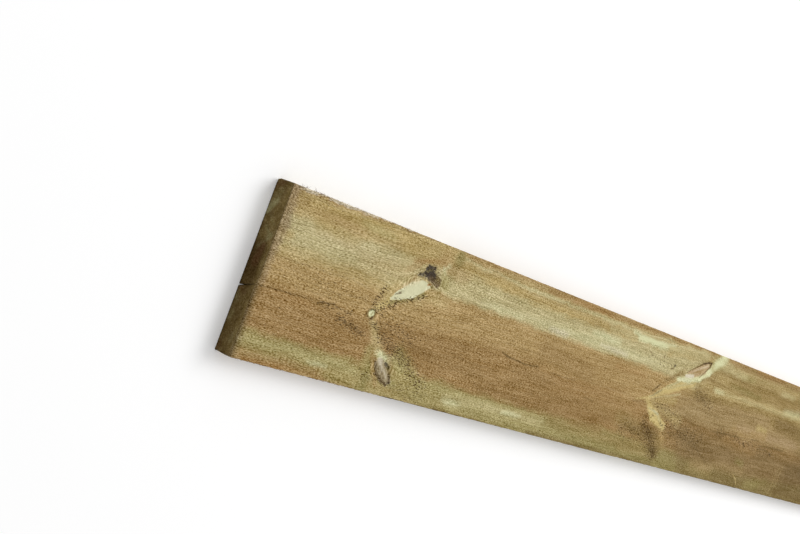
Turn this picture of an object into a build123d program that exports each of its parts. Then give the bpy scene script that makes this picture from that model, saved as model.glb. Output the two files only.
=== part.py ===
from build123d import *
import os

# One rough-sawn softwood board, lying flat with its heart face upwards.
# X runs along the board, Y across it and Z up through it, in millimetres.
# The origin is the middle of the underside.

# Stock size
LENGTH = 1800.0
WIDTH = 150.0
THICKNESS = 22.0

# The long arrises come square from the saw, and handling wears them down.
UPPER_ARRIS = 1.0
LOWER_ARRIS = 0.6
END_ARRIS = 0.5

# Where the pith of the tree ran: just under the heart face, near the middle.
PITH_Y = -6.0
PITH_DEPTH = 1.5

# The drying check opens on the underside of the near end and closes towards the pith.
CHECK_LENGTH = 130.0
CHECK_MOUTH_Y = -18.0
CHECK_MOUTH_WIDTH = 1.5
CHECK_INNER_WIDTH = 0.35
CHECK_TIP_WIDTH = 0.15
CHECK_TIP_HEIGHT = 7.0
CHECK_THROUGH_SHARE = 0.45
CHECK_DRIFT = 2.2
CHECK_STATIONS = 5

# A corner of the near end is knocked off, on the underside.
CHIP_DEPTH = 2.5
CHIP_RUN = 22.0

# The upper arris of the near end is bruised from the check to the other corner.
BRUISE_START_Y = 8.0
BRUISE_DEPTH = 1.6
BRUISE_RUN = 2.4

# How far a cutting solid stands outside the wood that it cuts
CLEAR = 1.0

NEAR_END_X = -LENGTH / 2
EDGE_Y = WIDTH / 2


def across(x):
    """The plane square across the board at x, with Y to the right and Z up."""
    return Plane(origin=(x, 0, 0), x_dir=(0, 1, 0), z_dir=(1, 0, 0))


def outline(x, corners):
    """A closed straight-sided outline in the plane across the board at x."""
    return across(x) * make_face(Polyline(*corners, close=True))


def sawn_stock():
    """The sawn section, run the whole length, with its ends cut square."""
    section = Rectangle(WIDTH, THICKNESS, align=(Align.CENTER, Align.MIN))
    upper = section.vertices().filter_by_position(Axis.Y, THICKNESS - CLEAR, THICKNESS + CLEAR)
    section = fillet(upper, UPPER_ARRIS)
    lower = section.vertices().filter_by_position(Axis.Y, -CLEAR, CLEAR)
    section = fillet(lower, LOWER_ARRIS)
    return extrude(across(NEAR_END_X) * section, LENGTH)


def check_station(share):
    """The check's outline at a share of its length: wide on the underside, thin above."""
    opening = (1.0 - share) ** 0.75
    mouth = CHECK_TIP_WIDTH + (CHECK_MOUTH_WIDTH - CHECK_TIP_WIDTH) * opening
    inner = CHECK_TIP_WIDTH + (CHECK_INNER_WIDTH - CHECK_TIP_WIDTH) * opening
    past_face = max(0.0, share - CHECK_THROUGH_SHARE) / (1.0 - CHECK_THROUGH_SHARE)
    top = THICKNESS + CLEAR - (THICKNESS + CLEAR - CHECK_TIP_HEIGHT) * past_face

    # The check lies on a radius of the growth rings, and drifts as the grain does.
    drift = CHECK_DRIFT * share * share
    lean = (PITH_Y - CHECK_MOUTH_Y) / (THICKNESS - PITH_DEPTH)
    low_y = CHECK_MOUTH_Y + drift - lean * CLEAR
    high_y = CHECK_MOUTH_Y + drift + lean * top * 0.5
    corners = [
        (low_y - mouth / 2, -CLEAR),
        (low_y + mouth / 2, -CLEAR),
        (high_y + inner / 2, top),
        (high_y - inner / 2, top),
    ]
    start = NEAR_END_X - CLEAR
    return outline(start + share * (CHECK_LENGTH + CLEAR), corners)


def drying_check():
    """The wedge of air that the check takes out of the end, lofted along the grain."""
    shares = [step / (CHECK_STATIONS - 1) for step in range(CHECK_STATIONS)]
    return loft([check_station(share) for share in shares])


def corner_chip():
    """The three-sided flake that is missing from the near end's lower corner."""
    reach = CHIP_DEPTH + 2 * CLEAR
    corner_y = EDGE_Y + CLEAR
    flake = outline(
        NEAR_END_X - CLEAR,
        [(corner_y - reach, -CLEAR), (corner_y, -CLEAR), (corner_y, reach - CLEAR)],
    )
    shown = 1.0 - 2 * CLEAR / reach
    tip_x = NEAR_END_X + CHIP_RUN / shown
    return loft([flake, Vertex(tip_x, corner_y, -CLEAR)])


def bruised_arris():
    """The wedge crushed off the near end's upper arris, growing towards the corner."""
    top = THICKNESS + CLEAR
    slope = BRUISE_DEPTH / BRUISE_RUN
    outer = Plane(origin=(0, -EDGE_Y - CLEAR, 0), x_dir=(1, 0, 0), z_dir=(0, -1, 0))
    corners = [
        (NEAR_END_X - CLEAR, THICKNESS - BRUISE_DEPTH - CLEAR * slope),
        (NEAR_END_X + BRUISE_RUN + CLEAR / slope, top),
        (NEAR_END_X - CLEAR, top),
    ]
    wide_end = outer * make_face(Polyline(*corners, close=True))
    return loft([wide_end, Vertex(NEAR_END_X - CLEAR, BRUISE_START_Y + EDGE_Y, top)])


stock = sawn_stock()
end_edges = stock.edges().filter_by_position(Axis.X, -LENGTH, NEAR_END_X)
end_edges += stock.edges().filter_by_position(Axis.X, -NEAR_END_X, LENGTH)
stock = chamfer(end_edges, END_ARRIS)
board = stock - drying_check() - corner_chip() - bruised_arris()

os.makedirs("parts", exist_ok=True)
export_step(board.solid(), "parts/board.step")
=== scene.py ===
import math
import random
import bpy
import numpy as np
from mathutils import Matrix, Vector, geometry, noise


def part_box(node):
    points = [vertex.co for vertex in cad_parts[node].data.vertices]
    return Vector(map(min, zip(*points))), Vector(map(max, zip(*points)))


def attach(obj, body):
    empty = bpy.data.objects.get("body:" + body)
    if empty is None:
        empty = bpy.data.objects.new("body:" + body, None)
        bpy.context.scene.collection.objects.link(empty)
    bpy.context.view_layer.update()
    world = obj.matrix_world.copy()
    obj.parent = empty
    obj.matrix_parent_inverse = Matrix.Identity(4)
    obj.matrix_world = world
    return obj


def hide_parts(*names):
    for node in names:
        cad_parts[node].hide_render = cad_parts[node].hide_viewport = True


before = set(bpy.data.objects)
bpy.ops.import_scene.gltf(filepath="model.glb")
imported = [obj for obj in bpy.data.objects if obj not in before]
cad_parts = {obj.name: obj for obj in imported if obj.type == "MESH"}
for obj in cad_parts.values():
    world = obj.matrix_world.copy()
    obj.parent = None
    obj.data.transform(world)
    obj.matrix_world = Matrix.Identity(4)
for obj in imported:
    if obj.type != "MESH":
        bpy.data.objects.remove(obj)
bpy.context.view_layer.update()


# The sawn board.
# One softwood board, band-sawn from beside the pith of a small log and steeped in a green copper
# preservative. It is a single piece of wood, so this one mesh stands for the whole of it.
MM = 0.001
board_low, board_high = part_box("board")
LENGTH, WIDTH, THICKNESS = [(high - low) / MM for low, high in zip(board_low, board_high)]

# Places on the board are read as a tape would read them, in millimetres: along it from the near
# end, across it from the left edge, and down from the face that shows.
UPPER_ARRIS, LOWER_ARRIS, END_ARRIS = 1.0, 0.6, 0.5


def at(along, across, depth=0.0):
    """A place on the board, from millimetres on its face to the frame's metres."""
    return Vector((
        board_low[0] + along * MM,
        board_high[1] - across * MM,
        board_high[2] - depth * MM,
    ))


def eased(low, high, value):
    """0 below low, 1 above high, and a smooth rise between them."""
    share = np.clip((value - low) / (high - low), 0.0, 1.0)
    return share * share * (3.0 - 2.0 * share)


# How far apart two seeds take their bumps
SEEDS_APART = 17.3


def rough(places, size, seed):
    """Smooth random bumps from about -1 to 1, each about size millimetres long and wide."""
    scaled = places / np.asarray(size, float) + seed * SEEDS_APART
    flat = scaled.reshape(-1, 3)
    values = [noise.noise(Vector(place)) for place in flat]
    return np.array(values).reshape(places.shape[:-1])


def off_streak(along, across, start, end, start_radius, end_radius):
    """How far a place on the face lies outside a tapered streak, in millimetres."""
    run = (end[0] - start[0], end[1] - start[1])
    reach = max(run[0] ** 2 + run[1] ** 2, 1e-6)
    share = ((along - start[0]) * run[0] + (across - start[1]) * run[1]) / reach
    share = np.clip(share, 0.0, 1.0)
    gap = np.hypot(along - start[0] - share * run[0], across - start[1] - share * run[1])
    return gap - (start_radius + (end_radius - start_radius) * share)


# The drying check in the near end is open on the underside and closes towards the pith.
CHECK_LENGTH, CHECK_MOUTH, CHECK_INNER, CHECK_TIP = 130.0, 1.5, 0.35, 0.15
CHECK_LOW_ACROSS, CHECK_HIGH_ACROSS = 93.0, 87.2
CHECK_SKIN = 0.6
CHECK_THROUGH, CHECK_DRIFT = 58.0, 2.2

# A corner of the near end is knocked off underneath, and the upper arris there is bruised.
CHIP_DEPTH, CHIP_RUN = 2.5, 22.0
BRUISE_FROM, BRUISE_FULL, BRUISE_RADIUS, BRUISE_SPREAD = 60.0, 95.0, 2.2, 6.0


def stops(*spans):
    """Places spaced out over (start, end, step) spans, each span up to the next one."""
    rows = [
        np.linspace(start, end, max(1, round((end - start) / step)), endpoint=False)
        for start, end, step in spans
    ]
    return np.concatenate([*rows, [spans[-1][1]]])


# The mesh is finest round the branches, the split and the ends, and coarse where nothing happens.
along_stops = stops(
    (0.0, 2.4, 0.3), (2.4, 30.0, 1.3), (30.0, 125.0, 3.2), (125.0, 212.0, 1.4),
    (212.0, 560.0, 4.5), (560.0, 735.0, 1.8), (735.0, 1020.0, 5.5), (1020.0, 1160.0, 3.5),
    (1160.0, 1480.0, 9.0), (1480.0, 1620.0, 3.5), (1620.0, LENGTH - 2.4, 9.0),
    (LENGTH - 2.4, LENGTH, 0.3),
)
face_columns = stops(
    (UPPER_ARRIS, 6.0, 0.9), (6.0, 62.0, 1.4), (62.0, 84.0, 2.2), (84.0, 88.6, 0.55),
    (88.6, 104.0, 2.6), (104.0, 144.0, 1.5), (144.0, WIDTH - UPPER_ARRIS, 1.0),
)
underside_columns = stops((LOWER_ARRIS, 89.0, 5.0), (89.0, 91.0, 1.0))
underside_beyond = stops((95.0, 97.0, 1.0), (97.0, WIDTH - LOWER_ARRIS, 5.0))
edge_rows = stops((UPPER_ARRIS, THICKNESS - LOWER_ARRIS, 3.4))
ARC_STEPS = (0.33, 0.67)

# How far up its walls the check has points, how it narrows and sinks along its length, and from
# what share of its length the fold opens out flat into the underside
WALL_SHARES = (0.0, 0.2, 0.5, 0.8, 1.0)
NARROWS, SINKS, FLAT_FROM, FLAT_HALF = 0.75, 0.8, 0.75, 1.1


def check_height(along):
    """How far the check reaches up from the underside."""
    full = THICKNESS - CHECK_SKIN
    return full * (1.0 - eased(CHECK_THROUGH, CHECK_LENGTH, along) ** SINKS)


def section(along):
    """The board's outline at a distance along it, as (across, depth) points, once round."""
    points = []

    def arc(across, depth, radius, turn):
        for share in ARC_STEPS:
            angle = (turn + share) * math.pi / 2
            points.append((across + radius * math.sin(angle), depth - radius * math.cos(angle)))

    points.extend((column, 0.0) for column in face_columns)
    arc(WIDTH - UPPER_ARRIS, UPPER_ARRIS, UPPER_ARRIS, 0)
    points.extend((WIDTH, row) for row in edge_rows)
    arc(WIDTH - LOWER_ARRIS, THICKNESS - LOWER_ARRIS, LOWER_ARRIS, 1)
    points.extend((column, THICKNESS) for column in underside_beyond[::-1])

    height = check_height(along)
    run_share = min(along / CHECK_LENGTH, 1.0)
    opening = (1.0 - run_share) ** NARROWS
    closed = eased(CHECK_LENGTH * FLAT_FROM, CHECK_LENGTH, along)
    drift = CHECK_DRIFT * run_share ** 2 * (1.0 - closed)
    mouth = CHECK_TIP + (CHECK_MOUTH - CHECK_TIP) * opening
    inner = CHECK_TIP + (CHECK_INNER - CHECK_TIP) * opening
    for side, shares in ((1, WALL_SHARES), (-1, WALL_SHARES[::-1])):
        for share in shares:
            reached = share * height / THICKNESS
            middle = CHECK_LOW_ACROSS + (CHECK_HIGH_ACROSS - CHECK_LOW_ACROSS) * reached - drift
            half = 0.5 * (mouth + (inner - mouth) * share)
            half = half * (1.0 - closed) + closed * (FLAT_HALF - share)
            points.append((middle + side * half, THICKNESS - share * height))
    points.extend((column, THICKNESS) for column in underside_columns[::-1])
    arc(LOWER_ARRIS, THICKNESS - LOWER_ARRIS, LOWER_ARRIS, 2)
    points.extend((0.0, row) for row in edge_rows[::-1])
    arc(UPPER_ARRIS, UPPER_ARRIS, UPPER_ARRIS, 3)
    return points


outline = np.array([section(along) for along in along_stops])
shape = np.zeros((*outline.shape[:2], 3))
shape[..., 0] = along_stops[:, None]
shape[..., 1:] = outline


# The branches.
# The tree grew a ring of branches each year. The saw opened them lengthwise, so that they show as
# spikes running out from the pith. Some are dead and dark with bark, and others pale and sound.
PITH_ACROSS, PITH_DEPTH = 81.0, 1.5
WHORLS = (133.0, 586.5, 1078.0, 1546.0)

# What the saw and drying left hollow in the face: (start, end, radii at both, depth, edge width)
HOLLOWS = [
    ((184.0, 31.0), (193.0, 30.5), 5.2, 4.6, 1.3, 2.0),
    ((172.0, 34.5), (178.5, 33.0), 1.7, 1.5, 0.8, 1.2),
    ((152.0, 57.6), (160.0, 54.2), 0.8, 1.0, 1.3, 0.9),
    ((159.5, 123.0), (170.0, 134.5), 0.7, 0.9, 1.0, 0.9),
    ((172.0, 120.5), (178.0, 123.5), 1.2, 1.2, 1.1, 0.9),
    ((177.5, 124.0), (184.0, 138.0), 0.8, 1.9, 1.2, 1.0),
    ((645.0, 33.5), (672.0, 17.5), 0.5, 0.7, 0.7, 0.9),
    ((672.0, 17.5), (690.0, 14.5), 0.7, 1.0, 0.8, 0.9),
    ((689.0, 16.0), (676.0, 33.0), 0.8, 0.5, 0.7, 0.9),
    ((617.3, 30.7), (617.9, 30.5), 1.0, 1.0, 1.8, 0.8),
    ((609.6, 92.8), (610.2, 93.0), 0.8, 0.8, 0.8, 0.8),
]

# Hard branch wood stands a little proud of the soft wood round it: (start, end, radii, height)
PROUD_EDGE = (-1.0, 2.0)
PROUD = [
    ((150.0, 62.5), (181.0, 43.5), 2.2, 7.2, 0.22),
    ((158.0, 114.0), (180.0, 135.0), 3.5, 4.5, 0.2),
    ((132.3, 80.9), (133.0, 80.8), 3.4, 3.4, 0.2),
    ((636.0, 44.0), (680.0, 30.0), 4.0, 6.5, 0.2),
    ((598.0, 84.0), (636.0, 101.5), 2.5, 5.5, 0.2),
]

# The saw's own relief on the face: slow waves, the ripple that its teeth leave, and rough fibres
WAVE_DEPTH, RIPPLE_DEPTH, FIBRE_DEPTH, RAGGED_BY = 0.12, 0.05, 0.07, 0.7
RIPPLE_TURN, RIPPLE_SLANT = 0.97, 0.31

along, across, depth = shape[..., 0], shape[..., 1], shape[..., 2]
on_face = depth < UPPER_ARRIS * 0.5
sunk = WAVE_DEPTH * rough(shape, (34.0, 9.0, 9.0), 1)
sunk += RIPPLE_DEPTH * np.sin(along * RIPPLE_TURN + across * RIPPLE_SLANT)
sunk += FIBRE_DEPTH * rough(shape, (5.0, 2.2, 2.2), 2)
ragged = RAGGED_BY * rough(shape, (2.6, 2.2, 50.0), 3)
for start, end, start_radius, end_radius, hollow, edge in HOLLOWS:
    gap = off_streak(along, across, start, end, start_radius, end_radius)
    sunk += on_face * hollow * (1.0 - eased(-edge, edge, gap + ragged * min(edge, 1.0)))
for start, end, start_radius, end_radius, height in PROUD:
    gap = off_streak(along, across, start, end, start_radius, end_radius)
    sunk -= on_face * height * (1.0 - eased(*PROUD_EDGE, gap))

# The saw tore the crossed grain out in small pits behind each whorl. They begin, end and thin out
# sideways over these distances from the whorl's middle.
PITS_BEGIN, PITS_END, PITS_THIN, PIT_DEPTH = (-6.0, 14.0), (50.0, 95.0), (20.0, 48.0), 0.55
for whorl in WHORLS:
    torn = eased(*PITS_BEGIN, along - whorl) * (1.0 - eased(*PITS_END, along - whorl))
    torn *= 1.0 - eased(*PITS_THIN, np.abs(across - PITH_ACROSS))
    sunk += on_face * torn * PIT_DEPTH * np.maximum(rough(shape, (3.4, 2.4, 50.0), 4), 0.0)

# The check shows on the face as a hairline over the fold.
HAIRLINE, HAIRLINE_DEPTH = ((0.0, CHECK_HIGH_ACROSS), (62.0, 85.4), 0.35, 0.1), 0.2
HAIRLINE_EDGE = 0.5
hairline = off_streak(along, across, *HAIRLINE)
sunk += on_face * HAIRLINE_DEPTH * (1.0 - eased(0.0, HAIRLINE_EDGE, hairline))
shape[..., 2] += np.where(on_face, sunk, 0.0)

# The long edges are just as rough, but lie within the stock's size.
EDGE_WAVES, EDGE_FIBRES, EDGE_WEAR_REACH = 0.16, 0.1, 4.0
wear = EDGE_WAVES * (1.0 + rough(shape, (16.0, 6.0, 6.0), 5))
wear += EDGE_FIBRES * (1.0 + rough(shape, (3.5, 2.0, 2.0), 6))
on_left = np.clip(1.0 - across / LOWER_ARRIS, 0.0, 1.0)
on_right = np.clip(1.0 - (WIDTH - across) / LOWER_ARRIS, 0.0, 1.0)
from_edge = np.minimum(across, WIDTH - across)
wear = np.where(across < WIDTH / 2, wear, -wear)
shape[..., 1] += wear * np.clip(1.0 - from_edge / EDGE_WEAR_REACH, 0.0, 1.0)

# Handling has dented the long arrises here and there, and the saw left them ragged.
DENT_DEPTH, NICK_DEPTH, DENT_SHARE, DENT_RARITY, DENT_REACH = 1.6, 0.9, 0.6, 0.25, (0.6, 2.6)
to_arris = np.minimum(np.hypot(across, depth), np.hypot(WIDTH - across, depth))
dents = np.maximum(rough(shape, (13.0, 40.0, 40.0), 7) - DENT_RARITY, 0.0) * DENT_DEPTH
dents += np.maximum(rough(shape, (3.4, 40.0, 40.0), 9), 0.0) * NICK_DEPTH
dents *= 1.0 - eased(*DENT_REACH, to_arris)
shape[..., 2] += dents * DENT_SHARE
shape[..., 1] += np.where(across < WIDTH / 2, dents, -dents) * DENT_SHARE


def rounding(from_end, radius):
    """How far an arris of this radius draws the wood in, at a distance from the end."""
    left = np.clip(radius - from_end, 0.0, radius)
    return radius - np.sqrt(radius ** 2 - left ** 2)


# The ends: each arris is rounded off, and more so where the near end is bruised.
bruise_share = eased(BRUISE_FROM, BRUISE_FULL, across)
bruised = END_ARRIS + (BRUISE_RADIUS - END_ARRIS) * bruise_share
upper_share = np.clip(1.0 - depth / BRUISE_SPREAD, 0.0, 1.0)
on_underside = np.clip(1.0 - (THICKNESS - depth) / LOWER_ARRIS, 0.0, 1.0)
for from_end, face_radius in ((along.copy(), bruised), (LENGTH - along, END_ARRIS)):
    shape[..., 2] += rounding(from_end, face_radius) * upper_share
    drawn_in = rounding(from_end, END_ARRIS)
    shape[..., 2] -= drawn_in * on_underside
    shape[..., 1] += drawn_in * (on_left - on_right)

# The knocked-off corner is a rough flake across the left edge and the underside.
FLAKE_ROUGHNESS = 0.25
flake = 1.0 + FLAKE_ROUGHNESS * rough(shape, (3.0, 3.0, 3.0), 8)
flake = CHIP_DEPTH * (1.0 - along / CHIP_RUN) * flake
short = np.clip(flake - (shape[..., 1] + THICKNESS - shape[..., 2]), 0.0, None) / 2
shape[..., 1] += short
shape[..., 2] -= short

rings, around = shape.shape[:2]
vertices = [tuple(at(*place)) for place in shape.reshape(-1, 3)]
faces, flat_places = [], []

# The flat picture of the wood has the board's near stretch on one strip, the rest of it on the next,
# and the two ends past them. Each strip is unrolled, and what shows most gets the most room for each
# millimetre: (on the near stretch, on the far one).
PICTURE, GUTTER, CUT_AT = 1024.0, 5.0, 760.0
ROOM_SHOWN, ROOM_EDGE = (2.56, 1.46), (1.2, 0.7)
ROOM_HIDDEN, ROOM_CHECK = (0.78, 0.5), (0.5, 0.3)
# How far the check's walls lie from its mouth, and the least room that a step is given
CHECK_REACH, LEAST_STEP = 7.0, 0.3


def unrolled(ring, stretch):
    """How far up the picture each step of a ring's outline comes, from the first one."""
    closed = np.vstack([outline[ring], outline[ring][:1]])
    lengths = np.hypot(*np.diff(closed, axis=0).T)
    middles = (closed[1:] + closed[:-1]) / 2
    room = np.full(around, ROOM_HIDDEN[stretch])
    room[middles[:, 1] < UPPER_ARRIS] = ROOM_SHOWN[stretch]
    at_edge = (middles[:, 0] < LOWER_ARRIS) | (middles[:, 0] > WIDTH - LOWER_ARRIS)
    room[at_edge & (middles[:, 1] > UPPER_ARRIS)] = ROOM_EDGE[stretch]
    in_check = (abs(middles[:, 0] - CHECK_LOW_ACROSS) < CHECK_REACH) & (middles[:, 1] > UPPER_ARRIS)
    room[in_check & (middles[:, 1] < THICKNESS - 0.01)] = ROOM_CHECK[stretch]
    return np.concatenate([[0.0], np.cumsum(np.maximum(lengths, LEAST_STEP) * room)])


cut_ring = int(np.searchsorted(along_stops, CUT_AT))
strips = []
floor_line = GUTTER
for stretch, (first, last) in enumerate(((0, cut_ring), (cut_ring, rings - 1))):
    rise_by = unrolled(0 if stretch == 0 else rings - 1, stretch)
    stretch_stops = along_stops[first:last + 1]
    run = (stretch_stops - stretch_stops[0]) / (stretch_stops[-1] - stretch_stops[0])
    strips.append((first, GUTTER + run * (PICTURE - 2 * GUTTER), floor_line + rise_by))
    floor_line += rise_by[-1] + GUTTER
FAR_END_SHARE = 0.6
both_ends = (1.0 + FAR_END_SHARE) * WIDTH
END_ROOM = min((PICTURE - floor_line - GUTTER) / THICKNESS, (PICTURE - 3 * GUTTER) / both_ends)
FAR_END_FROM, FAR_END_ROOM = 2 * GUTTER + END_ROOM * WIDTH, FAR_END_SHARE * END_ROOM

for ring in range(rings - 1):
    first, runs, rises = strips[0 if ring < cut_ring else 1]
    near_u, far_u = runs[ring - first], runs[ring - first + 1]
    for step in range(around):
        following = (step + 1) % around
        faces.append((ring * around + step, ring * around + following,
                      (ring + 1) * around + following, (ring + 1) * around + step))
        low_v, high_v = rises[step], rises[step + 1]
        flat_places += [(near_u, low_v), (near_u, high_v), (far_u, high_v), (far_u, low_v)]


# The ends' own points: where they begin and stop, how far apart they are, how their rows sway, how
# clear of the check they keep, and how deep and how fine the cross-cut's roughness is
END_START_COLUMN, END_START_ROW, END_STOP, END_SPACING = 2.0, 2.2, 1.5, 2.4
END_SWAY, END_SWAY_TURN, END_CHECK_ROOM = 0.8, 9.1, 1.6
END_WEAR, END_FINENESS = 0.16, 0.4


def cap(ring, outwards):
    """Fills one end with small triangles, so that its saw marks can stand out."""
    rim = [Vector((place[1], place[2])) for place in shape[ring]]
    edges = [(step, (step + 1) % around) for step in range(around)]
    inner = []
    for row in np.arange(END_START_ROW, THICKNESS - END_STOP, END_SPACING):
        lean = (CHECK_HIGH_ACROSS - CHECK_LOW_ACROSS) * (1 - row / THICKNESS)
        check_at = CHECK_LOW_ACROSS + lean
        for column in np.arange(END_START_COLUMN, WIDTH - END_STOP, END_SPACING):
            if abs(column - check_at) > END_CHECK_ROOM or not outwards:
                inner.append(Vector((column + END_SWAY * math.sin(row * END_SWAY_TURN), row)))
    filled = geometry.delaunay_2d_cdt(rim + inner, edges, [], 1, 1e-6)
    places, triangles, origins = filled[0], filled[2], filled[3]
    used = {corner for triangle in triangles for corner in triangle}
    names = {}
    for new, old in enumerate(origins):
        if new not in used:
            continue
        if old and old[0] < around:
            names[new] = ring * around + old[0]
        else:
            column, row = places[new]
            bump_here = noise.noise(Vector((column * END_FINENESS, row * END_FINENESS, ring)))
            end_wear = END_WEAR * (1.0 + bump_here)
            end_at = shape[ring, 0, 0] + (end_wear if outwards else -end_wear)
            names[new] = len(vertices)
            vertices.append(tuple(at(end_at, column, row)))
    for triangle in triangles:
        loop = list(triangle)[::-1] if outwards else list(triangle)
        faces.append([names[corner] for corner in loop])
        room, start = (END_ROOM, GUTTER) if outwards else (FAR_END_ROOM, FAR_END_FROM)
        for corner in loop:
            sideways = places[corner].x if outwards else WIDTH - places[corner].x
            flat_places.append((start + sideways * room, floor_line + places[corner].y * room))


first_end_face = len(faces)
cap(0, True)
cap(rings - 1, False)

board_mesh = bpy.data.meshes.new("sawn_board")
board_mesh.from_pydata(vertices, [], faces)
flat_map = board_mesh.uv_layers.new(name="OFBake")
flat_values = [value / PICTURE for u, rise in flat_places for value in (PICTURE - u, rise)]
flat_map.data.foreach_set("uv", flat_values)
board = bpy.data.objects.new("sawn_board", board_mesh)
bpy.context.scene.collection.objects.link(board)
board_mesh.polygons.foreach_set("use_smooth", [True] * len(board_mesh.polygons))
end_faces = [0] * first_end_face + [1] * (len(board_mesh.polygons) - first_end_face)
board_mesh.polygons.foreach_set("material_index", end_faces)


# The wood's finish.
# Brown heartwood lies along the pith and pale sapwood outside it. The preservative tints only the
# sapwood green, and the band-saw leaves the whole face woolly, with short torn fibres.
class Bench:
    """A node tree being put together. Each call adds a node and gives back what it puts out."""

    def __init__(self, tree):
        self.tree = tree

    def node(self, kind, inputs=(), **settings):
        made = self.tree.nodes.new(kind)
        for name, value in settings.items():
            setattr(made, name, value)
        for key, value in dict(inputs).items():
            self.feed(value, made.inputs[key])
        return made

    def feed(self, value, socket):
        """Links a value that comes from another node, or else sets it on the socket."""
        if isinstance(value, bpy.types.NodeSocket):
            self.tree.links.new(value, socket)
        else:
            socket.default_value = value

    def maths(self, operation, *values):
        return self.node("ShaderNodeMath", enumerate(values), operation=operation).outputs[0]

    def vector(self, operation, *values):
        made = self.node("ShaderNodeVectorMath", enumerate(values), operation=operation)
        return made.outputs["Value" if operation in ("DOT_PRODUCT", "DISTANCE") else "Vector"]

    def rise(self, value, low, high, start=0.0, end=1.0):
        """Rises smoothly from start to end as the value goes from low to high."""
        keys = {"Value": value, "From Min": low, "From Max": high, "To Min": start, "To Max": end}
        made = self.node("ShaderNodeMapRange", keys, interpolation_type="SMOOTHSTEP", clamp=False)
        return made.outputs["Result"]

    def level(self, value, low, high, start=0.0, end=1.0):
        """Goes straight from start to end as the value goes from low to high."""
        keys = {"Value": value, "From Min": low, "From Max": high, "To Min": start, "To Max": end}
        return self.node("ShaderNodeMapRange", keys, clamp=True).outputs["Result"]

    def blend(self, share, first, second):
        """The first colour where the share is 0, and the second where it is 1."""
        keys = {0: share, 6: first, 7: second}
        return self.node("ShaderNodeMix", keys, data_type="RGBA", clamp_factor=True).outputs[2]

    def bumps(self, place, size, detail=2.0, roughness=0.5, out="Fac"):
        """Smooth random bumps of about the given size, in millimetres along, across and down."""
        scaled = self.vector("MULTIPLY", place, tuple(1.0 / length for length in size))
        keys = {"Vector": scaled, "Scale": 1.0, "Detail": detail, "Roughness": roughness}
        return self.node("ShaderNodeTexNoise", keys, noise_dimensions="3D").outputs[out]

    def parts(self, vector):
        return self.node("ShaderNodeSeparateXYZ", {0: vector}).outputs

    def whole(self, x, y, z):
        return self.node("ShaderNodeCombineXYZ", {0: x, 1: y, 2: z}).outputs[0]

    def group(self, group, **inputs):
        made = self.tree.nodes.new("ShaderNodeGroup")
        made.node_tree = group
        for key, value in inputs.items():
            self.feed(value, made.inputs[key.replace("_", " ").title()])
        return made.outputs


def new_group(name, takes, gives):
    """An empty node group with named sockets, its bench, what it takes, and what it gives."""
    group = bpy.data.node_groups.new(name, "ShaderNodeTree")
    for label, kind, default in takes:
        socket = group.interface.new_socket(name=label, in_out="INPUT", socket_type=kind)
        socket.default_value = default
    for label, kind in gives:
        group.interface.new_socket(name=label, in_out="OUTPUT", socket_type=kind)
    entry = group.nodes.new("NodeGroupInput")
    way_out = group.nodes.new("NodeGroupOutput")
    return group, Bench(group), entry.outputs, way_out.inputs


def tone(red, green, blue):
    """A colour as paint charts give it, from 0 to 255, in the renderer's linear values."""
    shares = [value / 255.0 for value in (red, green, blue)]
    linear = [s / 12.92 if s <= 0.04045 else ((s + 0.055) / 1.055) ** 2.4 for s in shares]
    return (*linear, 1.0)


NUMBER, PLACE = "NodeSocketFloat", "NodeSocketVector"

# Turns the object's own coordinates into millimetres along, across and down. The bent place
# wavers by a millimetre or two, so that nothing laid on it has a ruled edge, and frayed goes from
# about -1 to 1, to roughen an edge further. The steady place stirs by only a hair. It is worked out
# along with frayed, so that the renderer can take the marks one at a time and never holds them all.
tape, bench, takes, gives = new_group(
    "Tape", [("Position", PLACE, (0, 0, 0))],
    [("Place", PLACE), ("Bent", PLACE), ("Frayed", NUMBER), ("Steady", PLACE)],
)
per_metre = 1.0 / MM
origin = (-board_low[0] * per_metre, board_high[1] * per_metre, board_high[2] * per_metre)
keys = {0: takes["Position"], 1: (per_metre, -per_metre, -per_metre), 2: origin}
measured = bench.node("ShaderNodeVectorMath", keys, operation="MULTIPLY_ADD").outputs["Vector"]
bent = measured
WOBBLES = [((12.0, 8.0, 8.0), 4.0), ((2.8, 2.0, 2.0), 1.7)]  # (size, sway)
FRAY_SIZE, FRAY_REACH, STIR = (2.6, 1.7, 1.7), 5.0, 0.02
for size, sway in WOBBLES:
    wobble = bench.node("ShaderNodeSeparateColor", {0: bench.bumps(measured, size, 1.0, out="Color")})
    shifts = [bench.maths("MULTIPLY_ADD", share, sway, -0.5 * sway) for share in wobble.outputs[:2]]
    bent = bench.vector("ADD", bent, bench.whole(*shifts, 0.0))
bench.feed(measured, gives["Place"])
bench.feed(bent, gives["Bent"])
frayed = bench.bumps(measured, FRAY_SIZE, 2.0, 0.6)
bench.feed(bench.maths("MULTIPLY_ADD", frayed, FRAY_REACH, -0.5 * FRAY_REACH), gives["Frayed"])
stir = bench.whole(bench.maths("MULTIPLY", frayed, STIR), 0.0, 0.0)
bench.feed(bench.vector("ADD", measured, stir), gives["Steady"])

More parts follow.
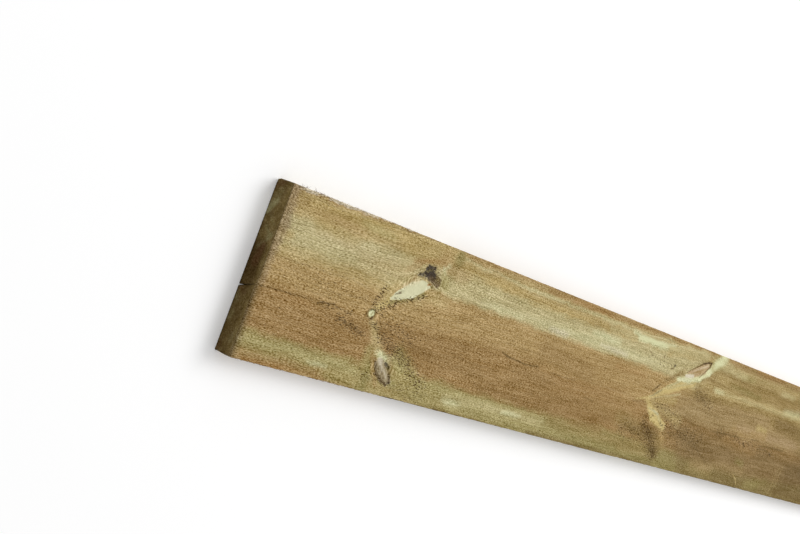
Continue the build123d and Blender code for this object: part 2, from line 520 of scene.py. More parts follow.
# A tapered streak of wood: a branch, a split or a stain. It can fade out towards both its ends.
streak, bench, takes, gives = new_group(
    "Streak",
    [
        ("Place", PLACE, (0, 0, 0)), ("Start", PLACE, (0, 0, 0)), ("End", PLACE, (1, 0, 0)),
        ("Start Radius", NUMBER, 1.0), ("End Radius", NUMBER, 1.0), ("Softness", NUMBER, 1.0),
        ("Fade", NUMBER, 0.0), ("Fraying", NUMBER, 0.0),
    ],
    [("Mask", NUMBER)],
)
run = bench.vector("SUBTRACT", takes["End"], takes["Start"])
ahead = bench.vector("SUBTRACT", takes["Place"], takes["Start"])
reach = bench.vector("DOT_PRODUCT", run, run)
share = bench.maths("DIVIDE", bench.vector("DOT_PRODUCT", ahead, run), reach)
share = bench.node("ShaderNodeClamp", {0: share}).outputs[0]
nearest = bench.node("ShaderNodeVectorMath", {0: run, "Scale": share}, operation="SCALE").outputs[0]
gap = bench.vector("DISTANCE", ahead, nearest)
wider = bench.maths("SUBTRACT", takes["End Radius"], takes["Start Radius"])
radius = bench.maths("MULTIPLY_ADD", wider, share, takes["Start Radius"])
outside = bench.maths("ADD", bench.maths("SUBTRACT", gap, radius), takes["Fraying"])
inwards = bench.maths("MULTIPLY", takes["Softness"], -1.0)
solid = bench.rise(outside, inwards, takes["Softness"], 1.0, 0.0)
left_over = bench.maths("SUBTRACT", 4.0, bench.maths("MULTIPLY", share, 4.0))
from_ends = bench.maths("MULTIPLY", share, left_over)
kept = bench.maths("MULTIPLY_ADD", bench.maths("SUBTRACT", from_ends, 1.0), takes["Fade"], 1.0)
bench.feed(bench.maths("MULTIPLY", solid, kept), gives["Mask"])

# The way the fibres run: along the board, wandering a little, and parting round each branch.
grain_flow, bench, takes, gives = new_group(
    "Grain Flow", [("Place", PLACE, (0, 0, 0))],
    [("Flow", PLACE), ("Flow Across", NUMBER), ("Drift", NUMBER)],
)
x, y, z = bench.parts(takes["Place"])
slow = bench.bumps(takes["Place"], (160.0, 50.0, 50.0), 1.0)
quick = bench.bumps(takes["Place"], (28.0, 13.0, 13.0), 2.0)
SLOW_WANDER, QUICK_WANDER = 10.0, 4.0
for wander, strays in ((slow, SLOW_WANDER), (quick, QUICK_WANDER)):
    y = bench.maths("ADD", y, bench.maths("MULTIPLY_ADD", wander, strays, -0.5 * strays))

# Where the fibres part round a branch: (along, across, radius)
PARTING_LENGTH, PARTING_FULLNESS = 0.55, 0.6
PARTINGS = [(174.0, 46.0, 10.5), (172.0, 126.0, 8.5), (133.0, 81.0, 5.0), (668.0, 32.0, 11.0),
            (622.0, 96.0, 7.0), (1100.0, 50.0, 9.0), (1106.0, 112.0, 8.0), (1572.0, 58.0, 10.0)]
for knot_along, knot_across, knot_radius in PARTINGS:
    dx = bench.maths("MULTIPLY_ADD", x, PARTING_LENGTH, -PARTING_LENGTH * knot_along)
    dy = bench.maths("SUBTRACT", y, knot_across)
    squared = bench.maths("MULTIPLY_ADD", dx, dx, bench.maths("MULTIPLY", dy, dy))
    squared = bench.maths("ADD", squared, knot_radius ** 2 * PARTING_FULLNESS)
    pushed = bench.maths("DIVIDE", bench.maths("MULTIPLY", dy, -knot_radius ** 2), squared)
    y = bench.maths("ADD", y, pushed)
bench.feed(bench.whole(x, y, z), gives["Flow"])
bench.feed(y, gives["Flow Across"])
drift = bench.bumps(takes["Place"], (22.0, 9.0, 9.0), 3.0, 0.65)
bench.feed(bench.maths("MULTIPLY_ADD", drift, 2.0, -1.0), gives["Drift"])

# Growth rings round the pith. Reach is the distance across the shown face at which that ring lies,
# so that heartwood and sapwood meet along the same ring on every side of the board.
growth, bench, takes, gives = new_group(
    "Growth Rings",
    [("Place", PLACE, (0, 0, 0)), ("Across", NUMBER, 0.0), ("Depth", NUMBER, 0.0),
     ("Pith Across", NUMBER, 81.0), ("Pith Depth", NUMBER, 1.5), ("Ring Width", NUMBER, 3.0)],
    [("Reach", NUMBER), ("Late Wood", NUMBER)],
)
side = bench.maths("SUBTRACT", takes["Across"], takes["Pith Across"])
down = bench.maths("SUBTRACT", takes["Depth"], takes["Pith Depth"])
squared = bench.maths("MULTIPLY_ADD", side, side, bench.maths("MULTIPLY", down, down))
radius = bench.maths("SQRT", squared)
signed = bench.maths("MULTIPLY", radius, bench.maths("SIGN", side))
bench.feed(bench.maths("ADD", takes["Pith Across"], signed), gives["Reach"])
RINGS_STRAY, LATE_FROM = 9.0, 0.22
uneven = bench.bumps(takes["Place"], (240.0, 8.0, 8.0))
strayed = bench.maths("MULTIPLY_ADD", uneven, RINGS_STRAY, radius)
turns = bench.maths("DIVIDE", strayed, takes["Ring Width"])
late = bench.maths("PINGPONG", turns, 0.5)
bench.feed(bench.rise(late, LATE_FROM, 0.5), gives["Late Wood"])

# The woolly surface that a band-saw leaves: short dashes of torn fibre along the grain, which the
# teeth have combed over on a slant in places.
saw_wool, bench, takes, gives = new_group(
    "Saw Wool", [("Flow", PLACE, (0, 0, 0)), ("Comb", NUMBER, 0.0)],
    [("Fibre", NUMBER), ("Height", NUMBER)],
)
DASH, TOOTH, THREAD = (2.5, 0.72, 0.72), (2.8, 0.72, 0.72), (48.0, 1.6, 1.6)
SLANT, THREAD_SHARE, WOOL_GAIN, WOOL_MIDDLE = 0.2, 0.22, 6.0, 0.61
x, y, z = bench.parts(takes["Flow"])
dashes = bench.bumps(takes["Flow"], DASH, 2.0, 0.6)
slanted = bench.whole(x, bench.maths("MULTIPLY_ADD", x, SLANT, y), z)
teeth = bench.bumps(slanted, TOOTH, 2.0, 0.6)
threads = bench.bumps(takes["Flow"], THREAD, 2.0, 0.6)
apart = bench.maths("SUBTRACT", teeth, dashes)
mixed = bench.maths("MULTIPLY_ADD", apart, takes["Comb"], dashes)
mixed = bench.maths("MULTIPLY_ADD", threads, THREAD_SHARE, mixed)
fibre = bench.maths("MULTIPLY_ADD", mixed, WOOL_GAIN, -WOOL_GAIN * WOOL_MIDDLE)
bench.feed(fibre, gives["Fibre"])
bench.feed(mixed, gives["Height"])

# Makes a colour lighter or darker by an even step, as flecks of light and shade do.
flecked, bench, takes, gives = new_group(
    "Flecked", [("Colour", "NodeSocketColor", (0.5, 0.5, 0.5, 1.0)), ("Step", NUMBER, 0.0)],
    [("Colour", "NodeSocketColor")],
)
DISPLAY, DARKEST = 2.2, (0.03, 0.03, 0.03)
seen = bench.node("ShaderNodeGamma", {0: takes["Colour"], 1: 1.0 / DISPLAY}).outputs[0]
step = bench.whole(takes["Step"], takes["Step"], takes["Step"])
seen = bench.vector("MAXIMUM", bench.vector("ADD", seen, step), DARKEST)
bench.feed(bench.node("ShaderNodeGamma", {0: seen, 1: DISPLAY}).outputs[0], gives["Colour"])

# Where the saw tore crossed grain out: a scatter of short dark pits.
torn_grain, bench, takes, gives = new_group(
    "Torn Grain", [("Flow", PLACE, (0, 0, 0)), ("Plenty", NUMBER, 0.5)], [("Pits", NUMBER)]
)
PIT_SIZE, PIT_EDGE = (3.6, 1.15, 1.15), 0.06
NO_PITS, PLENTY_ADDS = 0.725, 0.214
pits = bench.bumps(takes["Flow"], PIT_SIZE, 1.0, 0.6)
needed = bench.maths("MULTIPLY_ADD", takes["Plenty"], -PLENTY_ADDS, NO_PITS)
bench.feed(bench.rise(bench.maths("SUBTRACT", pits, needed), 0.0, PIT_EDGE), gives["Pits"])

# The woods' colours
HEART, HEART_PALE, HEART_DARK = tone(156, 125, 78), tone(172, 144, 94), tone(139, 111, 67)
SAP, TAN, OCHRE = tone(186, 173, 126), tone(179, 158, 107), tone(175, 152, 97)
GREEN, MINT, OLIVE = tone(171, 159, 107), tone(206, 205, 160), tone(154, 138, 86)
AMBER, ROSE, DULL = tone(160, 132, 84), tone(156, 132, 88), tone(126, 108, 64)
EARTHY, STRAW = tone(132, 108, 68), tone(166, 145, 95)
CREAM, GOLD, MAUVE = tone(206, 203, 165), tone(192, 171, 113), tone(152, 137, 106)
GLOW = tone(198, 178, 120)
BARK, SLIT, UMBER = tone(64, 55, 45), tone(92, 74, 48), tone(108, 86, 48)
SHADE, LILAC, PINK = tone(147, 124, 75), tone(207, 197, 172), tone(200, 187, 160)
STEEL, EARTH, MOSS = tone(126, 108, 77), tone(84, 67, 36), tone(138, 125, 74)
DARKER_NEAR_END = tone(104, 86, 52)
RUSSET, BUFF = tone(152, 116, 66), tone(208, 192, 152)
FLESH, PINKISH = tone(176, 150, 112), tone(162, 137, 100)

# How the woods follow each other across the face, left edge to right, on three stretches.
NEAR_BANDS = [(0.0, PINK), (2.2, PINK), (3.4, AMBER), (5.0, TAN), (7.5, OCHRE), (21.0, TAN),
              (28.0, SAP), (45.0, SAP), (55.0, TAN), (64.0, HEART_PALE), (76.0, HEART_PALE),
              (90.0, HEART), (110.0, HEART), (119.0, HEART), (126.0, OLIVE), (131.0, GREEN),
              (136.0, OLIVE), (144.0, AMBER), (150.0, HEART)]
MIDDLE_BANDS = [(0.0, AMBER), (6.0, AMBER), (8.6, TAN), (10.4, SAP), (12.8, TAN), (19.0, OCHRE),
                (25.0, SAP), (42.0, SAP), (47.0, HEART_PALE), (68.0, HEART_PALE), (84.0, HEART),
                (118.0, HEART), (125.5, OLIVE), (129.0, GREEN), (143.0, GREEN), (148.0, OLIVE),
                (150.0, DULL)]
FAR_BANDS = [(0.0, AMBER), (4.0, AMBER), (8.0, STRAW), (15.0, STRAW), (22.0, SHADE), (35.0, SHADE),
             (39.5, TAN), (44.0, TAN), (49.0, SHADE), (56.0, ROSE), (80.0, ROSE), (89.0, HEART_DARK),
             (104.0, EARTHY), (124.0, EARTHY), (134.0, DULL), (150.0, DULL)]


def banded(bench, reach, bands):
    """The colour of the wood at a reach across the board, from a list of bands."""
    ramp = bench.node("ShaderNodeValToRGB", {"Fac": bench.maths("DIVIDE", reach, WIDTH)})
    stops_here = ramp.color_ramp.elements
    for number, (across_here, colour) in enumerate(bands):
        if number < 2:
            stops_here[number].position = across_here / WIDTH
        else:
            stops_here.new(across_here / WIDTH)
    for stop, (across_here, colour) in zip(sorted(stops_here, key=lambda s: s.position), bands):
        stop.color = colour
    return ramp.outputs["Color"]


def mark(colour, start, end, radii, soft=1.0, strength=1.0, fade=0.0, fray=0.0):
    """A streak of another colour: where it starts and ends, and its radius at both."""
    return {"colour": colour, "start": start, "end": end, "radii": radii, "soft": soft,
            "strength": strength, "fade": fade, "fray": fray}


def trail(colour, *stops_on_it, **finish):
    """Marks that follow on from each other through (along, across, radius) stops."""
    pairs = zip(stops_on_it, stops_on_it[1:])
    return [mark(colour, a[:2], b[:2], (a[2], b[2]), **finish) for a, b in pairs]


# The first whorl, just behind the end. The marks are laid one over another, the lowest first.
FIRST_WHORL = [
    mark(OCHRE, (148, 14), (188, 20), (8, 8), 8, 0.7),
    mark(RUSSET, (154, 36), (168, 22), (1.6, 2.4), 3, 0.35, fade=0.2),
    mark(RUSSET, (162, 24), (198, 16), (2.4, 2), 2.4, 0.6, fade=0.3),
    mark(RUSSET, (160, 34), (176, 21), (1, 1.6), 2, 0.5, fade=0.3),
    mark(HEART_PALE, (198, 10), (206, 20), (7, 5), 6, 0.5),
    mark(MOSS, (217, 4), (212, 34), (5, 6), 5, 0.8),
    mark(AMBER, (192, 17), (232, 24), (5, 7), 6, 0.6, fade=0.2),
    mark(MOSS, (206, 30), (204, 46), (2.5, 3), 3, 0.5),
    mark(SAP, (216, 38), (240, 36), (6, 8), 6, 0.8),
    mark(TAN, (184, 50), (218, 52), (4, 5), 4, 0.75, fade=0.4),
    mark(TAN, (136, 74), (152, 54), (3, 6), 4, 0.85),
    mark(GOLD, (136, 77), (151, 64), (1.8, 4.4), 2.4, 0.85),
    mark(TAN, (138, 88), (157, 112), (3.5, 6), 4, 0.85),
    mark(HEART, (150, 59), (170, 38), (1.2, 1.8), 2, 0.5),
    mark(MOSS, (150, 67), (186, 51), (1.6, 3), 1.6, 0.8, fray=0.9),
    mark(OLIVE, (110, 142), (204, 147), (5, 6), 5, 0.95, fade=0.1),
    mark(OLIVE, (146, 112), (150, 150), (4, 7), 5, 0.9),
    mark(MOSS, (152, 126), (153, 150), (4, 5.5), 4, 0.9),
    mark(MOSS, (184, 106), (206, 128), (4, 9), 8, 0.7),
    mark(OLIVE, (184, 110), (204, 130), (5, 12), 7, 0.9),
    mark(GREEN, (178, 114), (192, 122), (2.5, 4), 3, 0.8),
    mark(TAN, (163, 139), (188, 144), (4, 3), 3, 0.5),
    mark(HEART_PALE, (157, 124), (168, 141), (3, 2.5), 2, 0.6),
    *trail(CREAM, (149.2, 63.0, 1.5), (158, 57.4, 4.6), (171, 50.0, 7.8), (180, 44.6, 6.2),
           (189, 41.6, 2.6), soft=0.9, fray=0.35),
    mark(BUFF, (160, 48.4), (174, 40.4), (1.6, 2.0), 2.4, 0.5, fray=0.3),
    mark(SLIT, (152.4, 58.2), (159.0, 55.0), (0.6, 1.1), 0.6, 0.95, fray=0.1),
    mark(UMBER, (193, 34), (198, 36), (6.4, 5.0), 1.6, 0.6, fray=1.8),
    mark(UMBER, (190, 29), (201, 33), (1.6, 1.3), 1.0, 0.7, fray=0.8),
    mark(SLIT, (201, 33), (200, 40), (1.2, 1.0), 1.0, 0.7, fray=0.8),
    mark(BARK, (183.5, 29.5), (191, 32), (6.0, 5.0), 1.6, 1.0, fray=1.5),
    mark(BARK, (181, 25), (189, 25), (2.2, 2.4), 1.4, 0.9, fray=1.5),
    mark(SLIT, (190, 35), (199, 38), (3.0, 2.8), 2.2, 0.75, fray=1.5),
    mark(BARK, (171.5, 35), (178, 33), (1.4, 2.2), 1.0, 0.9, fray=1.0),
    mark(MOSS, (181, 30), (187, 28), (1.4, 1.2), 1.0, 0.5, fray=1.6),
    mark(RUSSET, (187.6, 40.6), (190.4, 39.8), (1.3, 1.2), 0.8, 0.9, fray=0.4),
    mark(MINT, (201, 23), (206, 18), (1.4, 2.2), 2.2, 0.4, fray=0.8),
    mark(MINT, (199, 21), (204, 26), (1, 1.4), 1.2, 0.5, fray=0.8),
    mark(GREEN, (203, 27), (212, 38), (3, 4), 3, 0.65),
    mark(UMBER, (131.6, 81.6), (133.6, 81.2), (5.0, 5.0), 1.0, 0.8, fray=1.0),
    mark(MOSS, (132.5, 80.8), (132.9, 80.8), (4.2, 4.2), 0.8, 0.7, fray=0.3),
    mark(MINT, (132.6, 80.8), (132.9, 80.7), (3.2, 3.2), 0.7, fray=0.15),
    mark(CREAM, (131.6, 80.2), (132.0, 80.6), (1.2, 1.0), 0.8, 0.8, fray=0.1),
    mark(MOSS, (132.9, 82.4), (133.7, 79.6), (0.5, 0.5), 0.7, 0.9, fray=0.1),
    mark(SAP, (156, 112), (171, 117), (3, 5), 2.8, 1.0, fray=1.2),
    mark(MINT, (160, 113.6), (167, 117), (2.6, 3.4), 2.2, 0.9, fray=1.2),
    mark(MAUVE, (164.5, 122.5), (180.5, 135), (6.2, 4.4), 1.4, 0.95, fray=0.4),
    mark(LILAC, (163, 118), (170, 127), (2.6, 1.2), 2, 0.65, fray=0.6),
    mark(LILAC, (172, 126), (179, 133), (0.8, 0.8), 1.0, 0.5, fray=0.4),
    mark(SLIT, (157.4, 119.5), (164, 131), (0.8, 1.3), 1.0, 0.85, fray=0.5),
    mark(SLIT, (164, 131), (175, 137), (1.5, 1.6), 1.1, 0.9, fray=0.6),
    mark(SLIT, (166, 124), (176, 134), (0.6, 0.6), 0.8, 0.5, fray=0.5),
    mark(BARK, (171.8, 120), (177.4, 123.6), (1.5, 1.7), 0.8, 0.85, fray=0.5),
    mark(SLIT, (177.6, 124.4), (182, 131), (1.0, 0.8), 0.8, 0.9, fray=0.4),
    mark(SLIT, (182, 131), (184.8, 136.6), (1.0, 1.3), 0.8, 0.95, fray=0.3),
    mark(BARK, (184.8, 136.6), (181, 139), (1.2, 1.1), 0.8, 0.85, fray=0.3),
    mark(SLIT, (181, 139), (176.6, 137), (1.2, 1.2), 0.8, 0.9, fray=0.4),
    mark(BARK, (183, 149.6), (213, 149.8), (0.8, 0.8), 0.6, 0.8, fray=0.6),
]
SECOND_WHORL = [
    mark(SAP, (556, 19), (676, 9), (4, 6), 5, 0.75, fade=0.1),
    mark(SAP, (476, 17), (590, 18), (2.4, 3.4), 3.4, 0.75, fade=0.1),
    mark(SAP, (694, 14), (776, 14), (3, 4), 4, 0.55, fade=0.2),
    mark(HEART_PALE, (548, 76), (612, 75), (5, 6), 7, 0.75, fade=0.2),
    mark(TAN, (600, 79), (664, 90), (5, 7), 6, 0.85, fade=0.1),
    mark(SAP, (500, 11), (528, 11), (2.4, 2.4), 3, 0.8, fade=0.4),
    mark(MINT, (519, 11), (546, 15), (2.2, 3), 2.4, 0.85, fade=0.3),
    mark(MINT, (534, 15.6), (586, 14), (3.4, 2.8), 2.6, 1.0, fade=0.2),
    mark(MINT, (562, 14), (604, 10.5), (2.4, 1.6), 2.4, 0.7, fade=0.3),
    mark(MINT, (560, 17), (592, 15.4), (2, 2), 2.4, 0.6, fade=0.2),
    mark(SHADE, (548, 106), (640, 122), (6, 12), 10, 0.85),
    mark(UMBER, (560, 112), (626, 114), (4, 7), 8, 0.55, fade=0.3, fray=1.6),
    mark(UMBER, (600, 106), (638, 132), (5, 8), 10, 0.52, fray=1.6),
    mark(HEART_DARK, (590, 82), (606, 108), (2, 6), 6, 0.5),
    mark(UMBER, (672, 98), (712, 112), (4, 6), 8, 0.35, fade=0.4),
    mark(SHADE, (612, 50), (640, 34), (3, 3), 4, 0.8, fade=0.2),
    mark(UMBER, (611, 49), (634, 39), (1, 1.4), 3, 0.45, fade=0.3),
    mark(SHADE, (678, 50), (712, 45), (3, 5), 4, 0.85),
    mark(UMBER, (682, 51), (700, 54), (3, 4), 6, 0.5),
    mark(GOLD, (590, 75), (640, 50), (1.4, 7), 2.5, 1.0),
    mark(GOLD, (566, 81), (592, 74.4), (0.7, 1.4), 1.2, 0.8, fade=0.3),
    mark(UMBER, (562, 83.6), (592, 80), (0.6, 0.7), 1.1, 0.5, fade=0.3),
    mark(AMBER, (598, 70.4), (626, 55), (0.5, 2.0), 1.8, 0.4),
    mark(SAP, (591, 73.8), (638, 46), (0.6, 2.4), 1.4, 0.95),
    mark(SAP, (598, 74), (648, 60), (0.5, 1.2), 1.0, 0.85, fade=0.3),
    mark(GOLD, (612, 63), (668, 43), (2.4, 4.4), 2.4, 1.0),
    mark(SAP, (620, 59), (668, 42), (0.8, 1.6), 1.4, 0.8, fade=0.2),
    mark(OCHRE, (596, 77), (644, 70), (1.0, 5), 2.6, 0.75, fade=0.3),
    mark(TAN, (606, 69.5), (640, 68.5), (2.6, 3.4), 3, 0.6),
    mark(MINT, (633, 44), (658, 41), (1.8, 3.6), 2, 1.0, fray=0.8),
    mark(MINT, (656, 40), (678, 36), (3.4, 3.4), 2, 0.85, fray=0.8),
    mark(MINT, (677, 34), (692, 25), (3.4, 4.6), 2.4, 0.85, fray=0.8),
    mark(MINT, (692, 25), (700, 14), (4.2, 5.4), 3, 0.85, fray=0.8),
    mark(GREEN, (700, 14), (716, 4), (8, 9), 5, 0.75),
    mark(MINT, (702, 13), (715, 4), (5.4, 7), 4, 0.95, fray=0.8),
    mark(SAP, (716, 6), (742, 12), (3, 3), 4, 0.6, fade=0.3),
    mark(CREAM, (636, 44), (660, 40), (1.4, 2.0), 1.6, 0.85, fade=0.1, fray=0.4),
    mark(FLESH, (650, 33.5), (684, 18.6), (1.6, 4.0), 1.0, fray=0.2),
    mark(FLESH, (660, 35), (682, 26), (2.4, 3.2), 1.4, 0.8, fray=0.4),
    mark(PINK, (656, 31), (686, 17.6), (0.5, 1.6), 1.2, 0.5, fade=0.3, fray=0.2),
    mark(SHADE, (655, 34), (684, 21.6), (0.4, 0.5), 0.7, 0.6, fade=0.3, fray=0.2),
    mark(ROSE, (658, 32), (676, 23.6), (0.8, 1.4), 1.2, 0.55, fade=0.2, fray=0.8),
    mark(BUFF, (673, 23), (686, 17), (0.6, 1.2), 1.2, 0.45, fade=0.1, fray=0.6),
    mark(HEART, (664, 29.6), (680, 27), (0.7, 0.9), 1.0, 0.4, fade=0.2, fray=0.8),
    mark(LILAC, (647, 37.6), (661, 35.6), (2.0, 2.2), 1.4, 1.0, fray=0.5),
    mark(UMBER, (592.4, 66.4), (602, 57.6), (0.8, 1.3), 0.9, 0.9, fray=0.6),
    mark(UMBER, (594, 72), (610, 62), (0.5, 0.6), 0.8, 0.6, fray=0.4),
    mark(UMBER, (601, 56), (622, 46), (0.5, 0.6), 1.2, 0.25, fade=0.3, fray=0.4),
    mark(UMBER, (646, 34), (660, 25.4), (0.5, 0.7), 0.7, 0.9, fray=0.3),
    mark(UMBER, (660, 25.4), (675, 17.2), (0.7, 1.1), 0.7, 1.0, fray=0.3),
    mark(SLIT, (675, 17.2), (684, 14.4), (1.2, 1.2), 0.7, 1.0, fray=0.3),
    mark(SLIT, (684, 14.4), (690.4, 13.8), (1.2, 1.1), 0.7, 1.0, fray=0.3),
    mark(SLIT, (690.4, 14.4), (690, 18.4), (1.1, 0.9), 0.7, 1.0, fray=0.3),
    mark(UMBER, (690, 18.4), (683, 26), (0.9, 0.7), 0.7, 0.9, fray=0.3),
    mark(UMBER, (683, 26), (675.6, 33.8), (0.6, 0.7), 0.7, 0.75, fray=0.3),
    mark(GOLD, (588, 77.5), (608, 88), (2.4, 3.6), 3, 0.85, fray=0.6),
    mark(GLOW, (595, 84.6), (612, 93), (2.0, 6.6), 3.0, 1.0, fray=0.5),
    mark(GLOW, (612, 93), (638, 102), (6.6, 5.0), 3.4, 1.0, fray=0.6),
    mark(SAP, (598, 86), (618, 90), (0.9, 1.8), 1.2, 0.9, fray=0.5),
    mark(SAP, (618, 90), (636, 102), (1.6, 1.4), 1.4, 0.7, fade=0.1, fray=0.8),
    mark(CREAM, (607, 86.6), (620, 90.2), (0.5, 0.6), 0.7, 0.7, fray=0.3),
    mark(UMBER, (608.6, 92.4), (611.4, 93.2), (0.8, 0.8), 0.8, 0.75, fray=0.3),
    mark(UMBER, (622.6, 97), (630, 100), (0.4, 0.4), 0.7, 0.6, fade=0.2),
    mark(HEART_PALE, (638, 109), (646, 115), (2.4, 3), 3, 0.8, fray=0.8),
    mark(UMBER, (600, 107), (622, 114), (3, 3.4), 4, 0.4, fray=2.4),
    mark(SLIT, (632, 130), (640, 138), (1.6, 2.4), 3, 0.5, fray=2.4),
    mark(UMBER, (603, 79.4), (632, 76.6), (0.4, 0.5), 0.8, 0.6, fade=0.3, fray=0.4),
    mark(UMBER, (608, 83.2), (630, 80.4), (0.4, 0.5), 0.8, 0.55, fade=0.3, fray=0.4),
    mark(UMBER, (630, 80.4), (666, 86), (0.5, 0.6), 0.9, 0.6, fade=0.4, fray=0.5),
    mark(UMBER, (632, 89), (660, 98), (0.5, 0.6), 1.0, 0.55, fade=0.4, fray=0.6),
    mark(UMBER, (640, 66), (672, 62), (0.5, 0.6), 1.2, 0.5, fade=0.5, fray=0.5),
    mark(SAP, (609, 34), (622, 31), (3.4, 2.4), 2.2, 0.75),
    mark(BARK, (616.4, 31.5), (618.6, 31.0), (1.1, 1.0), 0.6, 0.95, fray=0.1),
    mark(UMBER, (612.6, 35.8), (616.6, 34.8), (0.8, 0.6), 0.8, 0.8, fray=0.3),
    mark(UMBER, (589.5, 25.6), (592, 26.8), (0.8, 0.9), 0.8, 0.7, fray=0.3),
    mark(UMBER, (561.4, 26.2), (564, 26.8), (0.7, 0.8), 0.8, 0.6, fray=0.3),
]
